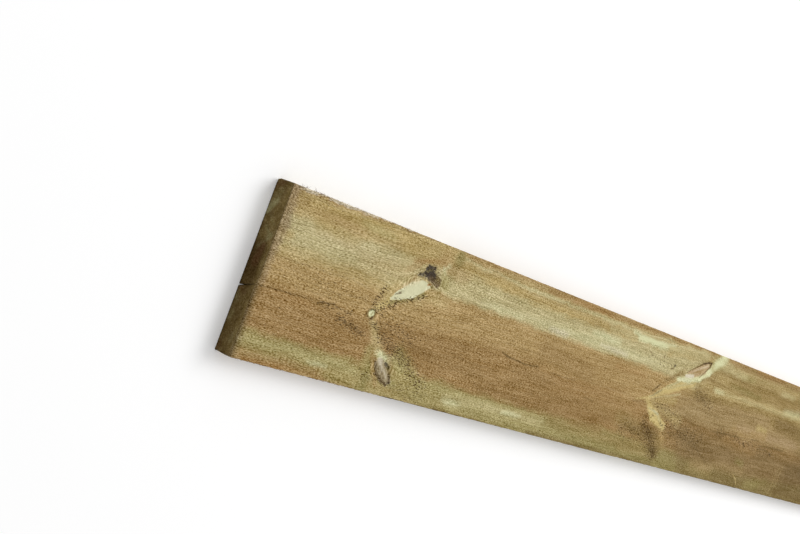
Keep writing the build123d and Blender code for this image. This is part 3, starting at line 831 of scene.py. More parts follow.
STAINS = [
    mark(SHADE, (0, 9), (17, 9.6), (5.6, 5), 5, 0.75),
    mark(TAN, (0, 41), (15, 41), (3.4, 3.4), 4, 0.8),
    mark(STEEL, (5, 24), (7, 34), (4.0, 4.0), 3, 0.6, fray=2.0),
    mark(STEEL, (2, 48), (3, 64), (3, 3), 4, 0.6, fray=2.0),
    mark(PINKISH, (4, 5), (5, 11), (3, 3), 2.4, 0.7, fray=1.6),
    mark(PINKISH, (5, 71), (5, 83), (2.6, 2.6), 2.4, 0.7, fray=1.6),
    mark(HEART_PALE, (10, 14), (90, 18), (6, 6), 7, 0.35, fade=0.3),
    mark(OCHRE, (40, 24), (84, 28), (5, 5), 6, 0.6, fade=0.3),
    mark(BUFF, (34, 31), (110, 33), (2.4, 2.8), 5, 0.3, fade=0.4),
    mark(HEART_PALE, (100, 40), (176, 34), (6, 7), 8, 0.35, fade=0.4),
    mark(GREEN, (88, 10), (128, 12), (3, 3), 4, 0.6, fade=0.4),
    mark(AMBER, (34, 15), (92, 17), (2.5, 2.5), 4, 0.5, fade=0.6),
    mark(RUSSET, (20, 87), (66, 91), (3, 4), 5, 0.35, fade=0.3),
    mark(UMBER, (69, 86.2), (86, 83.4), (0.6, 0.8), 0.9, 0.75, fade=0.1, fray=1.2),
    mark(UMBER, (84, 83.4), (110, 87), (0.7, 0.6), 0.9, 0.5, fade=0.2, fray=1.2),
    mark(UMBER, (98, 93), (131, 100.4), (0.6, 0.7), 1.1, 0.45, fade=0.2, fray=1.2),
    mark(MINT, (320, 38), (600, 35), (4, 5), 6, 0.45, fade=0.8),
    mark(MINT, (266, 38), (330, 40), (3, 3.6), 4, 0.35, fade=0.5),
    mark(MINT, (450, 28), (500, 29), (3, 3.4), 3.4, 0.7, fade=0.4),
    mark(LILAC, (378, 40), (408, 40.6), (2.4, 2.4), 3, 0.5, fade=0.3),
    mark(LILAC, (470, 38), (520, 38.6), (2.4, 2.4), 3, 0.4, fade=0.3),
    mark(SAP, (300, 10.6), (384, 9.6), (1.3, 1.4), 1.8, 0.95, fade=0.3),
    mark(SAP, (420, 9.6), (500, 10), (1.3, 1.8), 1.8, 0.95, fade=0.3),
    mark(OCHRE, (262, 17), (320, 18), (4, 4), 4, 0.6, fade=0.3),
    mark(AMBER, (232, 4), (274, 5), (2.4, 2.4), 3, 0.6, fade=0.1),
    mark(TAN, (282, 5), (352, 5), (2, 2), 2.6, 0.65, fade=0.1),
    mark(RUSSET, (400, 3.4), (470, 3.6), (2, 2.2), 2.4, 0.6, fade=0.3),
    mark(RUSSET, (800, 3.4), (870, 3.4), (1.8, 2.2), 2.4, 0.7, fade=0.3),
    mark(UMBER, (430, 18.4), (462, 19.4), (1.4, 1.6), 3, 0.22, fade=0.5),
    mark(GREEN, (30, 130), (130, 130), (3, 4), 5, 0.6, fade=0.6),
    mark(MINT, (80, 136.4), (104, 136), (1.5, 1.5), 2.6, 0.5, fade=0.4),
    mark(RUSSET, (14, 148), (76, 148), (1.6, 1.8), 2, 0.8, fade=0.1, fray=0.8),
    mark(AMBER, (60, 148.6), (150, 148.6), (1.6, 1.2), 2, 0.7, fray=0.8),
    mark(OLIVE, (206, 134), (262, 138), (6, 6), 7, 0.7, fade=0.2),
    mark(GREEN, (225, 127.6), (410, 129), (1.2, 1.6), 1.4, 0.6),
    mark(SAP, (262, 136), (420, 134), (3.4, 4), 4, 0.6, fade=0.2),
    mark(MINT, (352, 134.6), (380, 133.6), (2.4, 2.2), 2.6, 0.65, fade=0.3),
    mark(MINT, (262, 139), (286, 138), (2.5, 2.5), 3, 0.6, fade=0.5),
    mark(MOSS, (290, 143), (400, 146), (2, 2), 3, 0.7, fade=0.1),
    mark(MOSS, (410, 145), (690, 145), (3, 5), 4, 0.75, fade=0.1),
    mark(UMBER, (400, 148), (640, 148), (2, 2), 3, 0.6, fade=0.1),
    mark(MOSS, (425, 135), (676, 137), (7, 10), 8, 0.62, fade=0.1),
    mark(SHADE, (430, 130), (640, 134), (5, 6), 6, 0.6, fade=0.2),
    mark(AMBER, (500, 56), (586, 62), (8, 8), 8, 0.5, fade=0.2),
    mark(AMBER, (380, 62), (500, 66), (10, 10), 9, 0.85, fade=0.2),
    mark(HEART_DARK, (340, 90), (410, 92), (5, 5), 7, 0.6, fade=0.2),
    mark(HEART_DARK, (384, 64), (470, 72), (9, 8), 9, 0.45, fade=0.1),
    mark(SHADE, (466, 125), (524, 125), (3, 3), 4, 0.85, fade=0.1),
    mark(ROSE, (776, 128), (846, 128), (5, 5), 6, 0.7, fade=0.1),
    mark(HEART_PALE, (790, 79), (874, 76), (3, 5), 6, 0.6, fade=0.1),
    mark(HEART_DARK, (350, 106), (590, 110), (9, 10), 8, 0.5, fade=0.2),
    mark(AMBER, (490, 100), (564, 100), (6, 6), 8, 0.5, fade=0.2),
    mark(OLIVE, (718, 138), (774, 142), (5, 5), 6, 0.6, fade=0.4),
    mark(ROSE, (728, 133), (768, 134), (6, 7), 6, 0.8, fade=0.2),
    mark(MOSS, (866, 142), (912, 138), (5, 7), 6, 0.75, fade=0.2),
    mark(DULL, (910, 142), (1030, 138), (8, 12), 9, 0.95),
    mark(MOSS, (824, 116), (842, 119), (3, 4), 4, 0.6, fade=0.2),
    mark(GOLD, (846, 69), (868, 70), (3, 4), 4, 0.7, fade=0.1),
    mark(SHADE, (880, 55), (1010, 61), (7, 11), 9, 0.95),
    mark(HEART_DARK, (740, 5), (960, 5), (2.4, 2.6), 3, 0.6, fade=0.1),
    mark(UMBER, (884, 52), (950, 56), (3, 4), 6, 0.45, fade=0.3),
    mark(PINKISH, (800, 76), (960, 77), (4, 5), 5, 0.6, fade=0.2),
    mark(PINKISH, (806, 92), (846, 94), (3, 4), 4, 0.6, fade=0.2),
    mark(EARTH, (966, 116), (1030, 96), (14, 22), 26, 0.46),
    mark(MINT, (716, 42), (738, 42), (2.2, 2.6), 3, 0.55, fade=0.3),
    mark(SHADE, (790, 41), (846, 42), (2, 2.4), 3, 0.45, fade=0.3),
    mark(MINT, (898, 38.4), (940, 37.4), (3.6, 4.4), 4, 0.45, fade=0.3),
    mark(SAP, (740, 42), (950, 41), (2.2, 2.2), 2.6, 0.4),
    mark(TAN, (716, 27), (766, 30), (5, 7), 5, 0.7, fade=0.1),
    mark(UMBER, (896, 58), (1010, 64), (8, 11), 10, 0.4),
    mark(HEART, (784, 92), (856, 98), (8, 8), 8, 0.55, fade=0.1),
    mark(SHADE, (750, 29), (834, 30), (5, 6), 4, 0.85, fade=0.2),
    mark(MOSS, (752, 30), (826, 33), (2.4, 3), 4, 0.6, fade=0.3),
    mark(GREEN, (760, 15), (800, 15), (3, 3), 4, 0.6, fade=0.3),
    mark(HEART_DARK, (120, 90), (330, 84), (3, 4), 5, 0.4, fade=0.6),
    mark(HEART_DARK, (190, 98), (330, 108), (5, 8), 8, 0.5, fade=0.4),
    mark(HEART_DARK, (300, 118), (520, 122), (4, 5), 6, 0.6, fade=0.3),
    mark(UMBER, (320, 77.8), (332, 80.2), (0.5, 0.8), 0.7, 0.95, fray=0.5),
    mark(UMBER, (332, 80.2), (360, 82.2), (0.8, 0.6), 0.7, 0.85, fray=0.6),
    mark(UMBER, (360, 82.2), (382, 80.4), (0.6, 0.7), 0.7, 0.85, fade=0.2, fray=0.6),
    mark(UMBER, (404, 82.4), (448, 82.4), (0.5, 0.5), 0.7, 0.7, fade=0.3, fray=0.6),
    mark(UMBER, (470, 96), (492, 97.5), (0.5, 0.6), 0.7, 0.6, fade=0.6, fray=0.5),
    mark(UMBER, (740, 90), (800, 87.4), (0.7, 0.8), 1.0, 0.8, fade=0.2, fray=0.9),
    mark(UMBER, (800, 87.4), (860, 84.0), (0.8, 0.8), 0.9, 0.95, fade=0.1, fray=0.9),
    mark(UMBER, (866, 89), (930, 87), (0.7, 1.2), 1.2, 0.8, fade=0.2, fray=1.0),
    mark(UMBER, (866, 93), (892, 93.6), (0.6, 0.7), 1.0, 0.7, fade=0.3, fray=0.7),
    mark(UMBER, (716, 112), (756, 128), (0.8, 1.0), 1.4, 0.7, fade=0.3, fray=1.2),
    mark(UMBER, (0, 87.2), (62, 85.4), (0.7, 0.4), 0.7, 0.7, fade=0.2, fray=0.3),
    mark(SLIT, (825, 92.6), (831.6, 96.2), (0.9, 1.0), 0.8, 0.85, fray=0.4),
    mark(SLIT, (898, 95.6), (903, 98), (0.8, 0.9), 0.8, 0.8, fray=0.4),
    mark(TAN, (829, 133.6), (838, 138), (0.6, 0.8), 0.9, 0.9, fray=0.4),
    mark(TAN, (838, 138), (844, 144.6), (0.9, 0.8), 0.9, 0.9, fray=0.4),
    mark(SLIT, (838, 141.6), (842, 148), (0.7, 0.9), 1.0, 0.5, fray=0.4),
    mark(TAN, (938, 110), (932, 148), (0.8, 0.8), 1.4, 0.45, fade=0.3, fray=0.8),
    mark(TAN, (946, 106), (941, 148), (0.7, 0.7), 1.4, 0.45, fade=0.3, fray=0.8),
    mark(OLIVE, (100, 144), (262, 144), (2.2, 2.6), 3, 0.45, fade=0.1),
    mark(OLIVE, (364, 131), (396, 131), (2.6, 2.6), 3, 0.4),
    mark(SHADE, (566, 138), (640, 138), (2.6, 3), 4, 0.35),
    mark(UMBER, (944, 141), (1030, 139), (6, 7), 6, 0.5),
    mark(RUSSET, (510, 53), (566, 54), (3, 3), 4, 0.4),
    mark(SHADE, (684, 47), (716, 49), (3, 4), 4, 0.5),
    mark(HEART_PALE, (524, 86), (556, 86), (3, 3), 4, 0.45),
    mark(HEART_PALE, (806, 84), (838, 86), (3, 3), 4, 0.5),
    mark(HEART_PALE, (838, 78), (872, 77), (3, 4), 5, 0.6),
    mark(SAP, (566, 16), (622, 12), (3, 3), 4, 0.6),
    mark(SAP, (604, 27), (634, 36), (3, 3), 4, 0.4),
    mark(SAP, (876, 17), (912, 17), (2.6, 2.6), 3, 0.6, fade=0.2),
]

# Where the saw tore the grain: (start, end, radius, plenty)
TEARINGS = [
    ((137.5, 57), (131.7, 74), 3.4, 1.0), ((138, 76), (157, 66), 5.5, 1.0), ((135, 87), (146, 93), 5, 0.9),
    ((163, 63), (190, 51), 3, 0.9), ((153, 98), (190, 112), 8, 1.0), ((190, 112), (224, 131), 9, 0.85),
    ((70, 86), (108, 86), 2.6, 0.8), ((98, 93), (130, 101), 4.4, 0.95), ((140, 82), (190, 94), 10, 0.65),
    ((600, 104), (640, 136), 9, 1.0), ((605, 78), (668, 88), 7, 0.7), ((560, 116), (630, 120), 12, 0.7),
    ((682, 52), (720, 60), 8, 0.75), ((640, 98), (720, 108), 14, 0.75), ((760, 88), (900, 96), 7, 0.7),
    ((562, 28), (616, 34), 8, 0.4), ((60, 66), (122, 72), 10, 0.35), ((150, 134), (230, 142), 7, 0.5),
]


def laid_over(bench, colour, tape_out, marks):
    """Lays each mark over the colour. A frayed one has ragged edges, and the others waver."""
    for each in marks:
        fray = each["fray"]
        fraying = bench.maths("MULTIPLY", tape_out["Frayed"], fray) if fray else 0.0
        shown = bench.group(
            streak, place=tape_out["Steady" if fray else "Bent"], start=(*each["start"], 0.0),
            end=(*each["end"], 0.0), start_radius=each["radii"][0], end_radius=each["radii"][1],
            softness=each["soft"], fade=each["fade"], fraying=fraying,
        )["Mask"]
        if each["strength"] < 1.0:
            shown = bench.maths("MULTIPLY", shown, each["strength"])
        colour = bench.blend(shown, colour, each["colour"])
    return colour


def new_material(name):
    """A material with only its shader and output, and a bench to work on it."""
    made = bpy.data.materials.new(name)
    made.use_nodes = True
    return made, Bench(made.node_tree), made.node_tree.nodes["Principled BSDF"]


sawn_face, bench, shader = new_material("sawn_face")
position = bench.node("ShaderNodeTexCoord").outputs["Object"]
measured = bench.group(tape, position=position)
place = measured["Place"]
x, y, z = bench.parts(place)

flow_out = bench.group(grain_flow, place=place)
flow, drift = flow_out["Flow"], flow_out["Drift"]
rings_out = bench.group(
    growth, place=place, across=flow_out["Flow Across"], depth=z, pith_across=PITH_ACROSS,
    pith_depth=PITH_DEPTH,
)
BANDS_STRAY = 6.0
reach = bench.maths("MULTIPLY_ADD", drift, BANDS_STRAY, rings_out["Reach"])

near_wood = banded(bench, reach, NEAR_BANDS)
middle_wood = banded(bench, reach, MIDDLE_BANDS)
far_wood = banded(bench, reach, FAR_BANDS)

# The stretches meet along lines that sweep back from the pith, as the branches do.
SWEEP, MEETING_STRAY = -0.75, 26.0
MIDDLE_FROM, FAR_FROM = (138.0, 180.0), (590.0, 680.0)
from_pith = bench.maths("ABSOLUTE", bench.maths("SUBTRACT", y, PITH_ACROSS))
swept = bench.maths("MULTIPLY_ADD", from_pith, SWEEP, x)
swept = bench.maths("MULTIPLY_ADD", drift, MEETING_STRAY, swept)
colour = bench.blend(bench.rise(swept, *MIDDLE_FROM), near_wood, middle_wood)
colour = bench.blend(bench.rise(swept, *FAR_FROM), colour, far_wood)

LATE_WOOD_SHARE = 0.26
late = bench.maths("MULTIPLY", rings_out["Late Wood"], LATE_WOOD_SHARE)
colour = bench.blend(late, colour, UMBER)
colour = laid_over(bench, colour, measured, STAINS + FIRST_WHORL + SECOND_WHORL)

plenty = 0.0
for start, end, radius, share in TEARINGS:
    here = bench.group(
        streak, place=measured["Bent"], start=(*start, 0.0), end=(*end, 0.0), start_radius=radius,
        end_radius=radius, softness=radius,
    )["Mask"]
    here = bench.maths("MULTIPLY", here, share)
    plenty = here if plenty == 0.0 else bench.maths("MAXIMUM", plenty, here)
pits = bench.group(torn_grain, flow=flow, plenty=plenty)["Pits"]
PIT_SHADE, PIT_STRENGTH = tone(84, 61, 27), 0.9
colour = bench.blend(bench.maths("MULTIPLY", pits, PIT_STRENGTH), colour, PIT_SHADE)

# Sound branch wood saws clean, so it has little wool: (start, end, radii at both, how clean)
CLEAN = [
    ((151, 63), (180, 44.5), 2.5, 7, 0.85), ((133, 81), (134, 81), 3, 3, 0.8),
    ((648, 35), (684, 21), 2, 5, 0.6), ((163, 118), (180, 136), 4, 4, 0.65),
    ((186, 30), (192, 31), 6, 5, 0.6), ((534, 14.6), (610, 12), 3, 2, 0.65),
    ((640, 42), (690, 29), 3, 4, 0.6), ((694, 22), (714, 5), 4, 6, 0.5),
    ((138, 72), (147, 67), 3, 3, 0.5), ((592, 74), (650, 50), 1, 6, 0.45),
    ((598, 86), (634, 101), 2, 6, 0.45),
]
CLEAN_EDGE = 1.4
clean = 0.0
for start, end, start_radius, end_radius, share in CLEAN:
    sound = bench.group(
        streak, place=place, start=(*start, 0.0), end=(*end, 0.0), start_radius=start_radius,
        end_radius=end_radius, softness=CLEAN_EDGE,
    )["Mask"]
    sound = bench.maths("MULTIPLY", sound, share)
    clean = sound if clean == 0.0 else bench.maths("MAXIMUM", clean, sound)

# One stretch of the face near the end is combed over on a slant.
combed = bench.group(
    streak, place=place, start=(60.0, 30.0, 0.0), end=(130.0, 34.0, 0.0), start_radius=22.0,
    end_radius=24.0, softness=16.0,
)["Mask"]
wool = bench.group(saw_wool, flow=flow, comb=combed)
tufted = bench.maths("SUBTRACT", 1.0, clean)
fibre = bench.maths("MULTIPLY", wool["Fibre"], tufted)

# The wood is mottled on every scale: long clouds, short blotches, and the fibres themselves, whose
# flecks are painted highlights and painted shade. The flecks are strongest near the end.
FLECKS, FAR_FLECKS, FLECKS_FADE = 0.17, 0.135, (180.0, 560.0)
CLOUD_SIZE, BLOTCH_SIZE = (60.0, 7.0, 7.0), (9.0, 3.4, 3.4)
CLOUD_SHARE, BLOTCH_SHARE, MOTTLE_LIFT = 1.4, 0.9, -1.15
clouds = bench.bumps(flow, CLOUD_SIZE, 2.0, 0.6)
blotches = bench.bumps(flow, BLOTCH_SIZE, 1.0, 0.6)
mottle_and_fibre_shading = bench.maths("MULTIPLY_ADD", blotches, BLOTCH_SHARE, MOTTLE_LIFT)
mottle_and_fibre_shading = bench.maths("MULTIPLY_ADD", clouds, CLOUD_SHARE, mottle_and_fibre_shading)
mottle_and_fibre_shading = bench.maths("MULTIPLY_ADD", mottle_and_fibre_shading, tufted, fibre)

# The face darkens towards the end, and the darkening reaches furthest back on the bruised side. On
# the other side the fibres are worn grey for a few millimetres.
WORN_STRAY, WORN_ALONG, WORN_ACROSS = 14.0, (3.0, 14.0, 0.8, 0.0), (56.0, 78.0, 1.0, 0.1)
DARKENING_ALONG, DARKENING_ACROSS = (-3.6, 9.0, 1.1, 0.0), (44.0, 90.0, 0.2, 1.0)
worn = bench.rise(bench.maths("MULTIPLY_ADD", drift, WORN_STRAY, x), *WORN_ALONG)
worn = bench.maths("MULTIPLY", worn, bench.rise(y, *WORN_ACROSS))
worn_wood = bench.blend(bench.rise(wool["Fibre"], -1.5, 2.1), STEEL, PINKISH)
colour = bench.blend(worn, colour, worn_wood)
darkening_reach = bench.maths("DIVIDE", x, bench.rise(y, *DARKENING_ACROSS))
colour = bench.blend(bench.rise(darkening_reach, *DARKENING_ALONG), colour, DARKER_NEAR_END)

# The flecks are darker than they are light, because they paint the shade that torn fibres throw.
SHADE_DEEPENS, SHADE_LIFT = -0.14, 0.09
squared = bench.maths("MULTIPLY", mottle_and_fibre_shading, mottle_and_fibre_shading)
shaded = bench.maths("MULTIPLY_ADD", squared, SHADE_DEEPENS, mottle_and_fibre_shading)
shaded = bench.maths("ADD", shaded, SHADE_LIFT)
step = bench.maths("MULTIPLY", shaded, bench.rise(x, *FLECKS_FADE, FLECKS, FAR_FLECKS))
colour = bench.group(flecked, colour=colour, step=step)["Colour"]
bench.feed(colour, shader.inputs["Base Color"])
DULLEST, SHINIEST, SHEEN, RELIEF, RELIEF_DEPTH = 0.92, 0.74, 0.08, 0.9, 0.9 * MM
bench.feed(bench.level(fibre, -1.0, 1.0, DULLEST, SHINIEST), shader.inputs["Roughness"])
shader.inputs["Specular IOR Level"].default_value = SHEEN
height = bench.maths("MULTIPLY", wool["Height"], tufted)
height = bench.maths("MULTIPLY_ADD", pits, -PIT_STRENGTH, height)
keys = {"Height": height, "Strength": RELIEF, "Distance": RELIEF_DEPTH}
bump = bench.node("ShaderNodeBump", keys)
bench.feed(bump.outputs["Normal"], shader.inputs["Normal"])

# Cut across, the fibres drink the preservative and turn dark, darkest under the heart, with paler,
# greener and redder patches.
end_grain, bench, shader = new_material("end_grain")
position = bench.node("ShaderNodeTexCoord").outputs["Object"]
measured = bench.group(tape, position=position)
place = measured["Place"]
across_end, down_end = bench.parts(place)[1], bench.parts(place)[2]
rings_out = bench.group(
    growth, place=place, across=across_end, depth=down_end, pith_across=PITH_ACROSS,
    pith_depth=PITH_DEPTH, ring_width=2.8,
)
END_DARK, END_BROWN, END_PALE = tone(74, 56, 27), tone(98, 80, 45), tone(119, 101, 60)
END_GREEN, END_RUST, END_RIM = tone(146, 138, 97), tone(86, 59, 34), tone(46, 36, 17)
END_FURRED = tone(121, 102, 64)

# Where the dark core under the heart begins and ends across, how dark it stays past there, and how
# far down it sets in
CORE_BEGINS, CORE_ENDS, CORE_DEPTH = (44.0, 62.0), (78.0, 102.0, 1.0, 0.42), (2.0, 10.0)
patch = bench.bumps(place, (12.0, 11.0, 6.0), 3.0, 0.65)
colour = bench.blend(bench.rise(patch, 0.32, 0.68), END_BROWN, END_PALE)
under_heart = bench.rise(across_end, *CORE_BEGINS)
under_heart = bench.maths("MULTIPLY", under_heart, bench.rise(across_end, *CORE_ENDS))
under_heart = bench.maths("MULTIPLY", under_heart, bench.rise(down_end, *CORE_DEPTH))
colour = bench.blend(under_heart, colour, END_DARK)

# The patches: (colour, start and end as (across, depth), radii at both, strength)
END_PATCHES = [
    (END_PALE, (8.0, 3.0), (48.0, 3.2), 2.4, 2.6, 0.45),
    (END_GREEN, (18.0, 12.5), (27.5, 21.0), 1.8, 3.4, 1.0),
    (END_GREEN, (10.0, 13.0), (22.0, 18.0), 4.0, 4.0, 0.22),
    (END_GREEN, (41.0, 14.5), (47.6, 5.5), 1.2, 1.6, 0.55),
    (END_GREEN, (45.6, 4.6), (48.4, 8.0), 1.4, 1.8, 0.5),
    (END_GREEN, (32.0, 13.0), (38.0, 7.0), 0.8, 1.0, 0.3),
    (END_GREEN, (51.0, 8.4), (58.8, 17.0), 0.7, 0.9, 0.3),
    (END_RUST, (57.0, 10.0), (70.0, 13.0), 3.0, 4.4, 0.65),
    (END_RUST, (1.6, 12.0), (6.0, 20.0), 2.4, 3.0, 0.6),
    (END_RUST, (94.5, 17.0), (97.0, 12.0), 1.2, 1.6, 0.5),
    (END_RUST, (143.0, 18.6), (148.0, 20.0), 2.0, 2.0, 0.6),
    (END_GREEN, (101.0, 19.6), (104.6, 18.6), 1.6, 1.6, 0.4),
    (END_GREEN, (116.0, 17.0), (121.0, 19.0), 2.0, 2.0, 0.3),
    (END_GREEN, (128.0, 3.0), (136.0, 8.0), 2.0, 3.0, 0.18),
    (PINKISH, (145.6, 1.6), (148.4, 4.6), 1.2, 1.2, 0.3),
]
END_SOFTNESS, END_FRAY = 2.6, 1.4
for tint, start, end, start_radius, end_radius, strength in END_PATCHES:
    shown = bench.group(
        streak, place=bench.whole(0.0, across_end, down_end), start=(0.0, *start), end=(0.0, *end),
        start_radius=start_radius, end_radius=end_radius, softness=END_SOFTNESS,
        fraying=bench.maths("MULTIPLY", measured["Frayed"], END_FRAY),
    )["Mask"]
    colour = bench.blend(bench.maths("MULTIPLY", shown, strength), colour, tint)
END_LATE_SHARE = 0.16
late = bench.maths("MULTIPLY", rings_out["Late Wood"], END_LATE_SHARE)
colour = bench.blend(late, colour, END_DARK)

# On the bruised side the arris is furred over, so that the end's colour runs on into the face's.
FURRED_DOWN, FURRED_ACROSS = (-1.0, 5.0, 0.9, 0.0), (50.0, 84.0)
furring = bench.rise(down_end, *FURRED_DOWN)
furring = bench.maths("MULTIPLY", furring, bench.rise(across_end, *FURRED_ACROSS))
colour = bench.blend(furring, colour, END_FURRED)

# The lower and right rims are darkest, and the whole end is pricked with pores and small lumps.
RIM_DOWN, RIM_ACROSS = (19.5, 22.5, 0.0, 0.6), (147.4, 150.4, 0.0, 0.7)
PORE_SIZE, LUMP_SIZE = (2.0, 1.3, 1.3), (5.0, 4.4, 4.4)
END_FLECKS, LUMP_SHARE, END_LIFT = 0.36, 0.6, -0.8
rim = bench.rise(down_end, *RIM_DOWN)
rim = bench.maths("MAXIMUM", rim, bench.rise(across_end, *RIM_ACROSS))
colour = bench.blend(rim, colour, END_RIM)
pores = bench.bumps(place, PORE_SIZE, 2.0, 0.7)
lumps = bench.bumps(place, LUMP_SIZE, 2.0, 0.6)
step = bench.maths("MULTIPLY_ADD", lumps, LUMP_SHARE, bench.maths("ADD", pores, END_LIFT))
step = bench.maths("MULTIPLY", step, END_FLECKS)
colour = bench.group(flecked, colour=colour, step=step)["Colour"]
bench.feed(colour, shader.inputs["Base Color"])
END_DULLEST, END_SHINIEST, END_SHEEN, END_RELIEF, END_RELIEF_DEPTH = 0.95, 0.8, 0.05, 0.8, 0.8 * MM
bench.feed(bench.rise(pores, 0.3, 0.7, END_DULLEST, END_SHINIEST), shader.inputs["Roughness"])
shader.inputs["Specular IOR Level"].default_value = END_SHEEN
keys = {"Height": pores, "Strength": END_RELIEF, "Distance": END_RELIEF_DEPTH}
bump = bench.node("ShaderNodeBump", keys)
bench.feed(bump.outputs["Normal"], shader.inputs["Normal"])

board_mesh.materials.append(sawn_face)
board_mesh.materials.append(end_grain)
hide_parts("board")
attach(board, "root")


# The torn fibres.
# Where the saw came out of the wood it left the long arrises furred with torn fibres, pale and fine
# along the left one, darker and shorter along the right one and at the knocked-off corner.
random.seed(11)
FIBRE_SIDES, FIBRE_STEPS, FIBRE_CURL, FIBRE_TAPER = 3, 3, 0.4, 0.7
# Each tuft: how many, along from and to, across, depth, length, how far they lean out, thickness
TUFTS = [
    (16, 9.0, 17.0, 0.6, 0.4, 4.6, 0.85, 0.22), (8, 24.0, 27.0, 0.6, 0.4, 4.8, 0.95, 0.22),
    (14, 28.0, 38.0, 0.5, 0.5, 3.2, 0.6, 0.34), (140, 22.0, 150.0, 0.5, 0.4, 3.4, 0.22, 0.3),
    (60, 150.0, 900.0, 0.4, 0.5, 3.0, 0.2, 0.24), (90, 4.0, 160.0, 149.5, 0.6, 2.6, 0.24, 0.3),
    (60, 160.0, 900.0, 149.5, 0.6, 2.4, 0.2, 0.26), (9, 0.3, 1.2, 148.6, 19.0, 2.8, 0.7, 0.34),
]
fibre_vertices, fibre_faces = [], []
for how_many, first, last, fibre_across, fibre_depth, length, lean, thick in TUFTS:
    out = -1.0 if fibre_across < WIDTH / 2 else 1.0
    for _ in range(how_many):
        root = Vector((random.uniform(first, last), fibre_across, fibre_depth + random.uniform(0.0, 0.8)))
        forwards = random.choice((-1.0, 1.0))
        reach = length * random.uniform(0.4, 1.0)
        aim = Vector((forwards * random.uniform(0.3, 1.0), out * lean * random.uniform(0.3, 1.3), 0.0))
        aim = aim.normalized() * reach
        curl = Vector((random.uniform(-0.5, 0.5), out * random.uniform(0.0, 0.3) * lean, 0.25))
        curl = curl * reach * FIBRE_CURL
        start_at = len(fibre_vertices)
        for step in range(FIBRE_STEPS):
            share = step / FIBRE_STEPS
            middle = root + aim * share + curl * share * share
            half = thick * (1.0 - FIBRE_TAPER * share) * 0.5
            for side in range(FIBRE_SIDES):
                turn = forwards * 2 * math.pi * side / FIBRE_SIDES
                around_it = Vector((0.4 * math.cos(turn), math.cos(turn), math.sin(turn))) * half
                fibre_vertices.append(tuple(at(*(middle + around_it))))
        fibre_vertices.append(tuple(at(*(root + aim + curl))))
        tip = start_at + FIBRE_STEPS * FIBRE_SIDES
        for step in range(FIBRE_STEPS):
            for side in range(FIBRE_SIDES):
                here = start_at + step * FIBRE_SIDES
                a_side, b_side = here + side, here + (side + 1) % FIBRE_SIDES
                if step < FIBRE_STEPS - 1:
                    fibre_faces.append((a_side, b_side, b_side + FIBRE_SIDES, a_side + FIBRE_SIDES))
                else:
                    fibre_faces.append((a_side, b_side, tip))
        fibre_faces.append([start_at + side for side in range(FIBRE_SIDES)][::-1])
torn_mesh = bpy.data.meshes.new("torn_fibres")
torn_mesh.from_pydata(fibre_vertices, [], fibre_faces)
torn_fibres = bpy.data.objects.new("torn_fibres", torn_mesh)
bpy.context.scene.collection.objects.link(torn_fibres)

torn_wood, bench, shader = new_material("torn_wood")
position = bench.node("ShaderNodeTexCoord").outputs["Object"]
place = bench.group(tape, position=position)["Place"]
x, y, z = bench.parts(place)
FIBRE_ROSE, FIBRE_PALE, FIBRE_FAR = tone(150, 112, 92), tone(214, 200, 174), tone(160, 134, 86)
FIBRE_END, FIBRE_RIGHT, FIBRE_LOW = tone(120, 92, 76), tone(138, 104, 62), tone(60, 48, 30)

# Each tuft is much of one colour, and that goes with the part of the board that it hangs from.
straw = bench.bumps(place, (3.0, 60.0, 60.0), 2.0, 0.6)
colour = bench.blend(bench.rise(straw, 0.36, 0.6), FIBRE_ROSE, FIBRE_PALE)
colour = bench.blend(bench.rise(x, 130.0, 190.0), colour, FIBRE_FAR)
colour = bench.blend(bench.rise(x, 40.0, 22.0, 0.0, 0.75), colour, FIBRE_END)
colour = bench.blend(bench.rise(y, 60.0, 90.0), colour, FIBRE_RIGHT)
colour = bench.blend(bench.rise(z, 8.0, 14.0), colour, FIBRE_LOW)
bench.feed(colour, shader.inputs["Base Color"])
shader.inputs["Roughness"].default_value = 0.85
shader.inputs["Specular IOR Level"].default_value = 0.25
torn_mesh.materials.append(torn_wood)
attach(torn_fibres, "root")


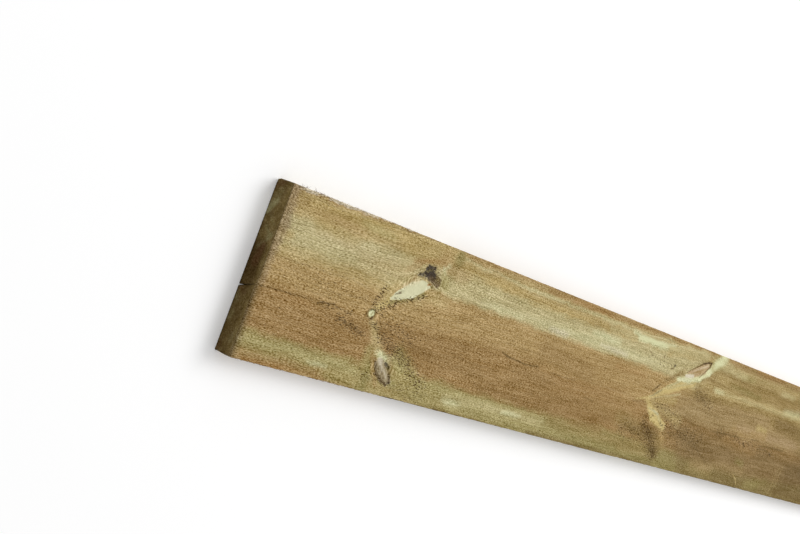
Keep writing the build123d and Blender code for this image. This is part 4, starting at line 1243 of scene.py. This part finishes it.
# The floor and the light.
# The board lies on a plain pale floor under one wide soft lamp, with an even sky round it.
FLOOR_HALF, FLOOR_GAP, FLOOR_GREY, FLOOR_GLOW = 30.0, 0.0002, (0.86, 0.86, 0.86, 1.0), 0.16
corners = [(-1, -1), (1, -1), (1, 1), (-1, 1)]
floor_mesh = bpy.data.meshes.new("floor")
floor_mesh.from_pydata(
    [(FLOOR_HALF * right, FLOOR_HALF * back, 0) for right, back in corners], [], [(0, 1, 2, 3)],
)
floor = bpy.data.objects.new("floor", floor_mesh)
floor.location.z = board_low[2] - FLOOR_GAP
bpy.context.scene.collection.objects.link(floor)
floor_paint, bench, shader = new_material("floor_paint")
shader.inputs["Base Color"].default_value = FLOOR_GREY
shader.inputs["Roughness"].default_value = 1.0
shader.inputs["Specular IOR Level"].default_value = 0.0
shader.inputs["Emission Color"].default_value = (1.0, 1.0, 1.0, 1.0)
seen = bench.node("ShaderNodeLightPath").outputs["Is Camera Ray"]
bench.feed(bench.maths("MULTIPLY", seen, FLOOR_GLOW), shader.inputs["Emission Strength"])
floor_mesh.materials.append(floor_paint)

world = bpy.data.worlds.new("sky")
bpy.context.scene.world = world
world.use_nodes = True
bench = Bench(world.node_tree)
SKY_LIGHT = 0.62
seen = bench.node("ShaderNodeLightPath").outputs["Is Camera Ray"]
strength = bench.maths("MULTIPLY_ADD", seen, 1.0 - SKY_LIGHT, SKY_LIGHT)
sky = world.node_tree.nodes["Background"]
sky.inputs["Color"].default_value = (1.0, 1.0, 1.0, 1.0)
bench.feed(strength, sky.inputs["Strength"])

LAMP_AT, LAMP_AIM = Vector((1.6, 2.0, 3.4)), Vector((-0.3, 0.0, 0.0))
LAMP_SIDE, LAMP_POWER = 3.0, 125.0
lamp_data = bpy.data.lights.new("soft_lamp", "AREA")
lamp_data.shape, lamp_data.size, lamp_data.energy = "SQUARE", LAMP_SIDE, LAMP_POWER
lamp = bpy.data.objects.new("soft_lamp", lamp_data)
lamp.location = LAMP_AT
lamp.rotation_euler = (LAMP_AIM - LAMP_AT).to_track_quat("-Z", "Y").to_euler()
bpy.context.scene.collection.objects.link(lamp)

# The camera looks down on the near end, rolled over as the picture was taken.
CAMERA_AT, CAMERA_AIM = Vector((-1.5696, 0.0449, 0.8334)), Vector((-0.7542, 0.0407, 0.022))
CAMERA_ROLL, SENSOR, LENS = math.radians(110.7), 36.0, 58.68
camera_data = bpy.data.cameras.new("camera")
camera_data.sensor_width, camera_data.lens = SENSOR, LENS
camera = bpy.data.objects.new("camera", camera_data)
camera.matrix_world = (
    Matrix.Translation(CAMERA_AT)
    @ (CAMERA_AIM - CAMERA_AT).to_track_quat("-Z", "Y").to_matrix().to_4x4()
    @ Matrix.Rotation(CAMERA_ROLL, 4, "Z")
)
bpy.context.scene.collection.objects.link(camera)
bpy.context.scene.camera = camera
bpy.context.scene.view_settings.view_transform = "Standard"
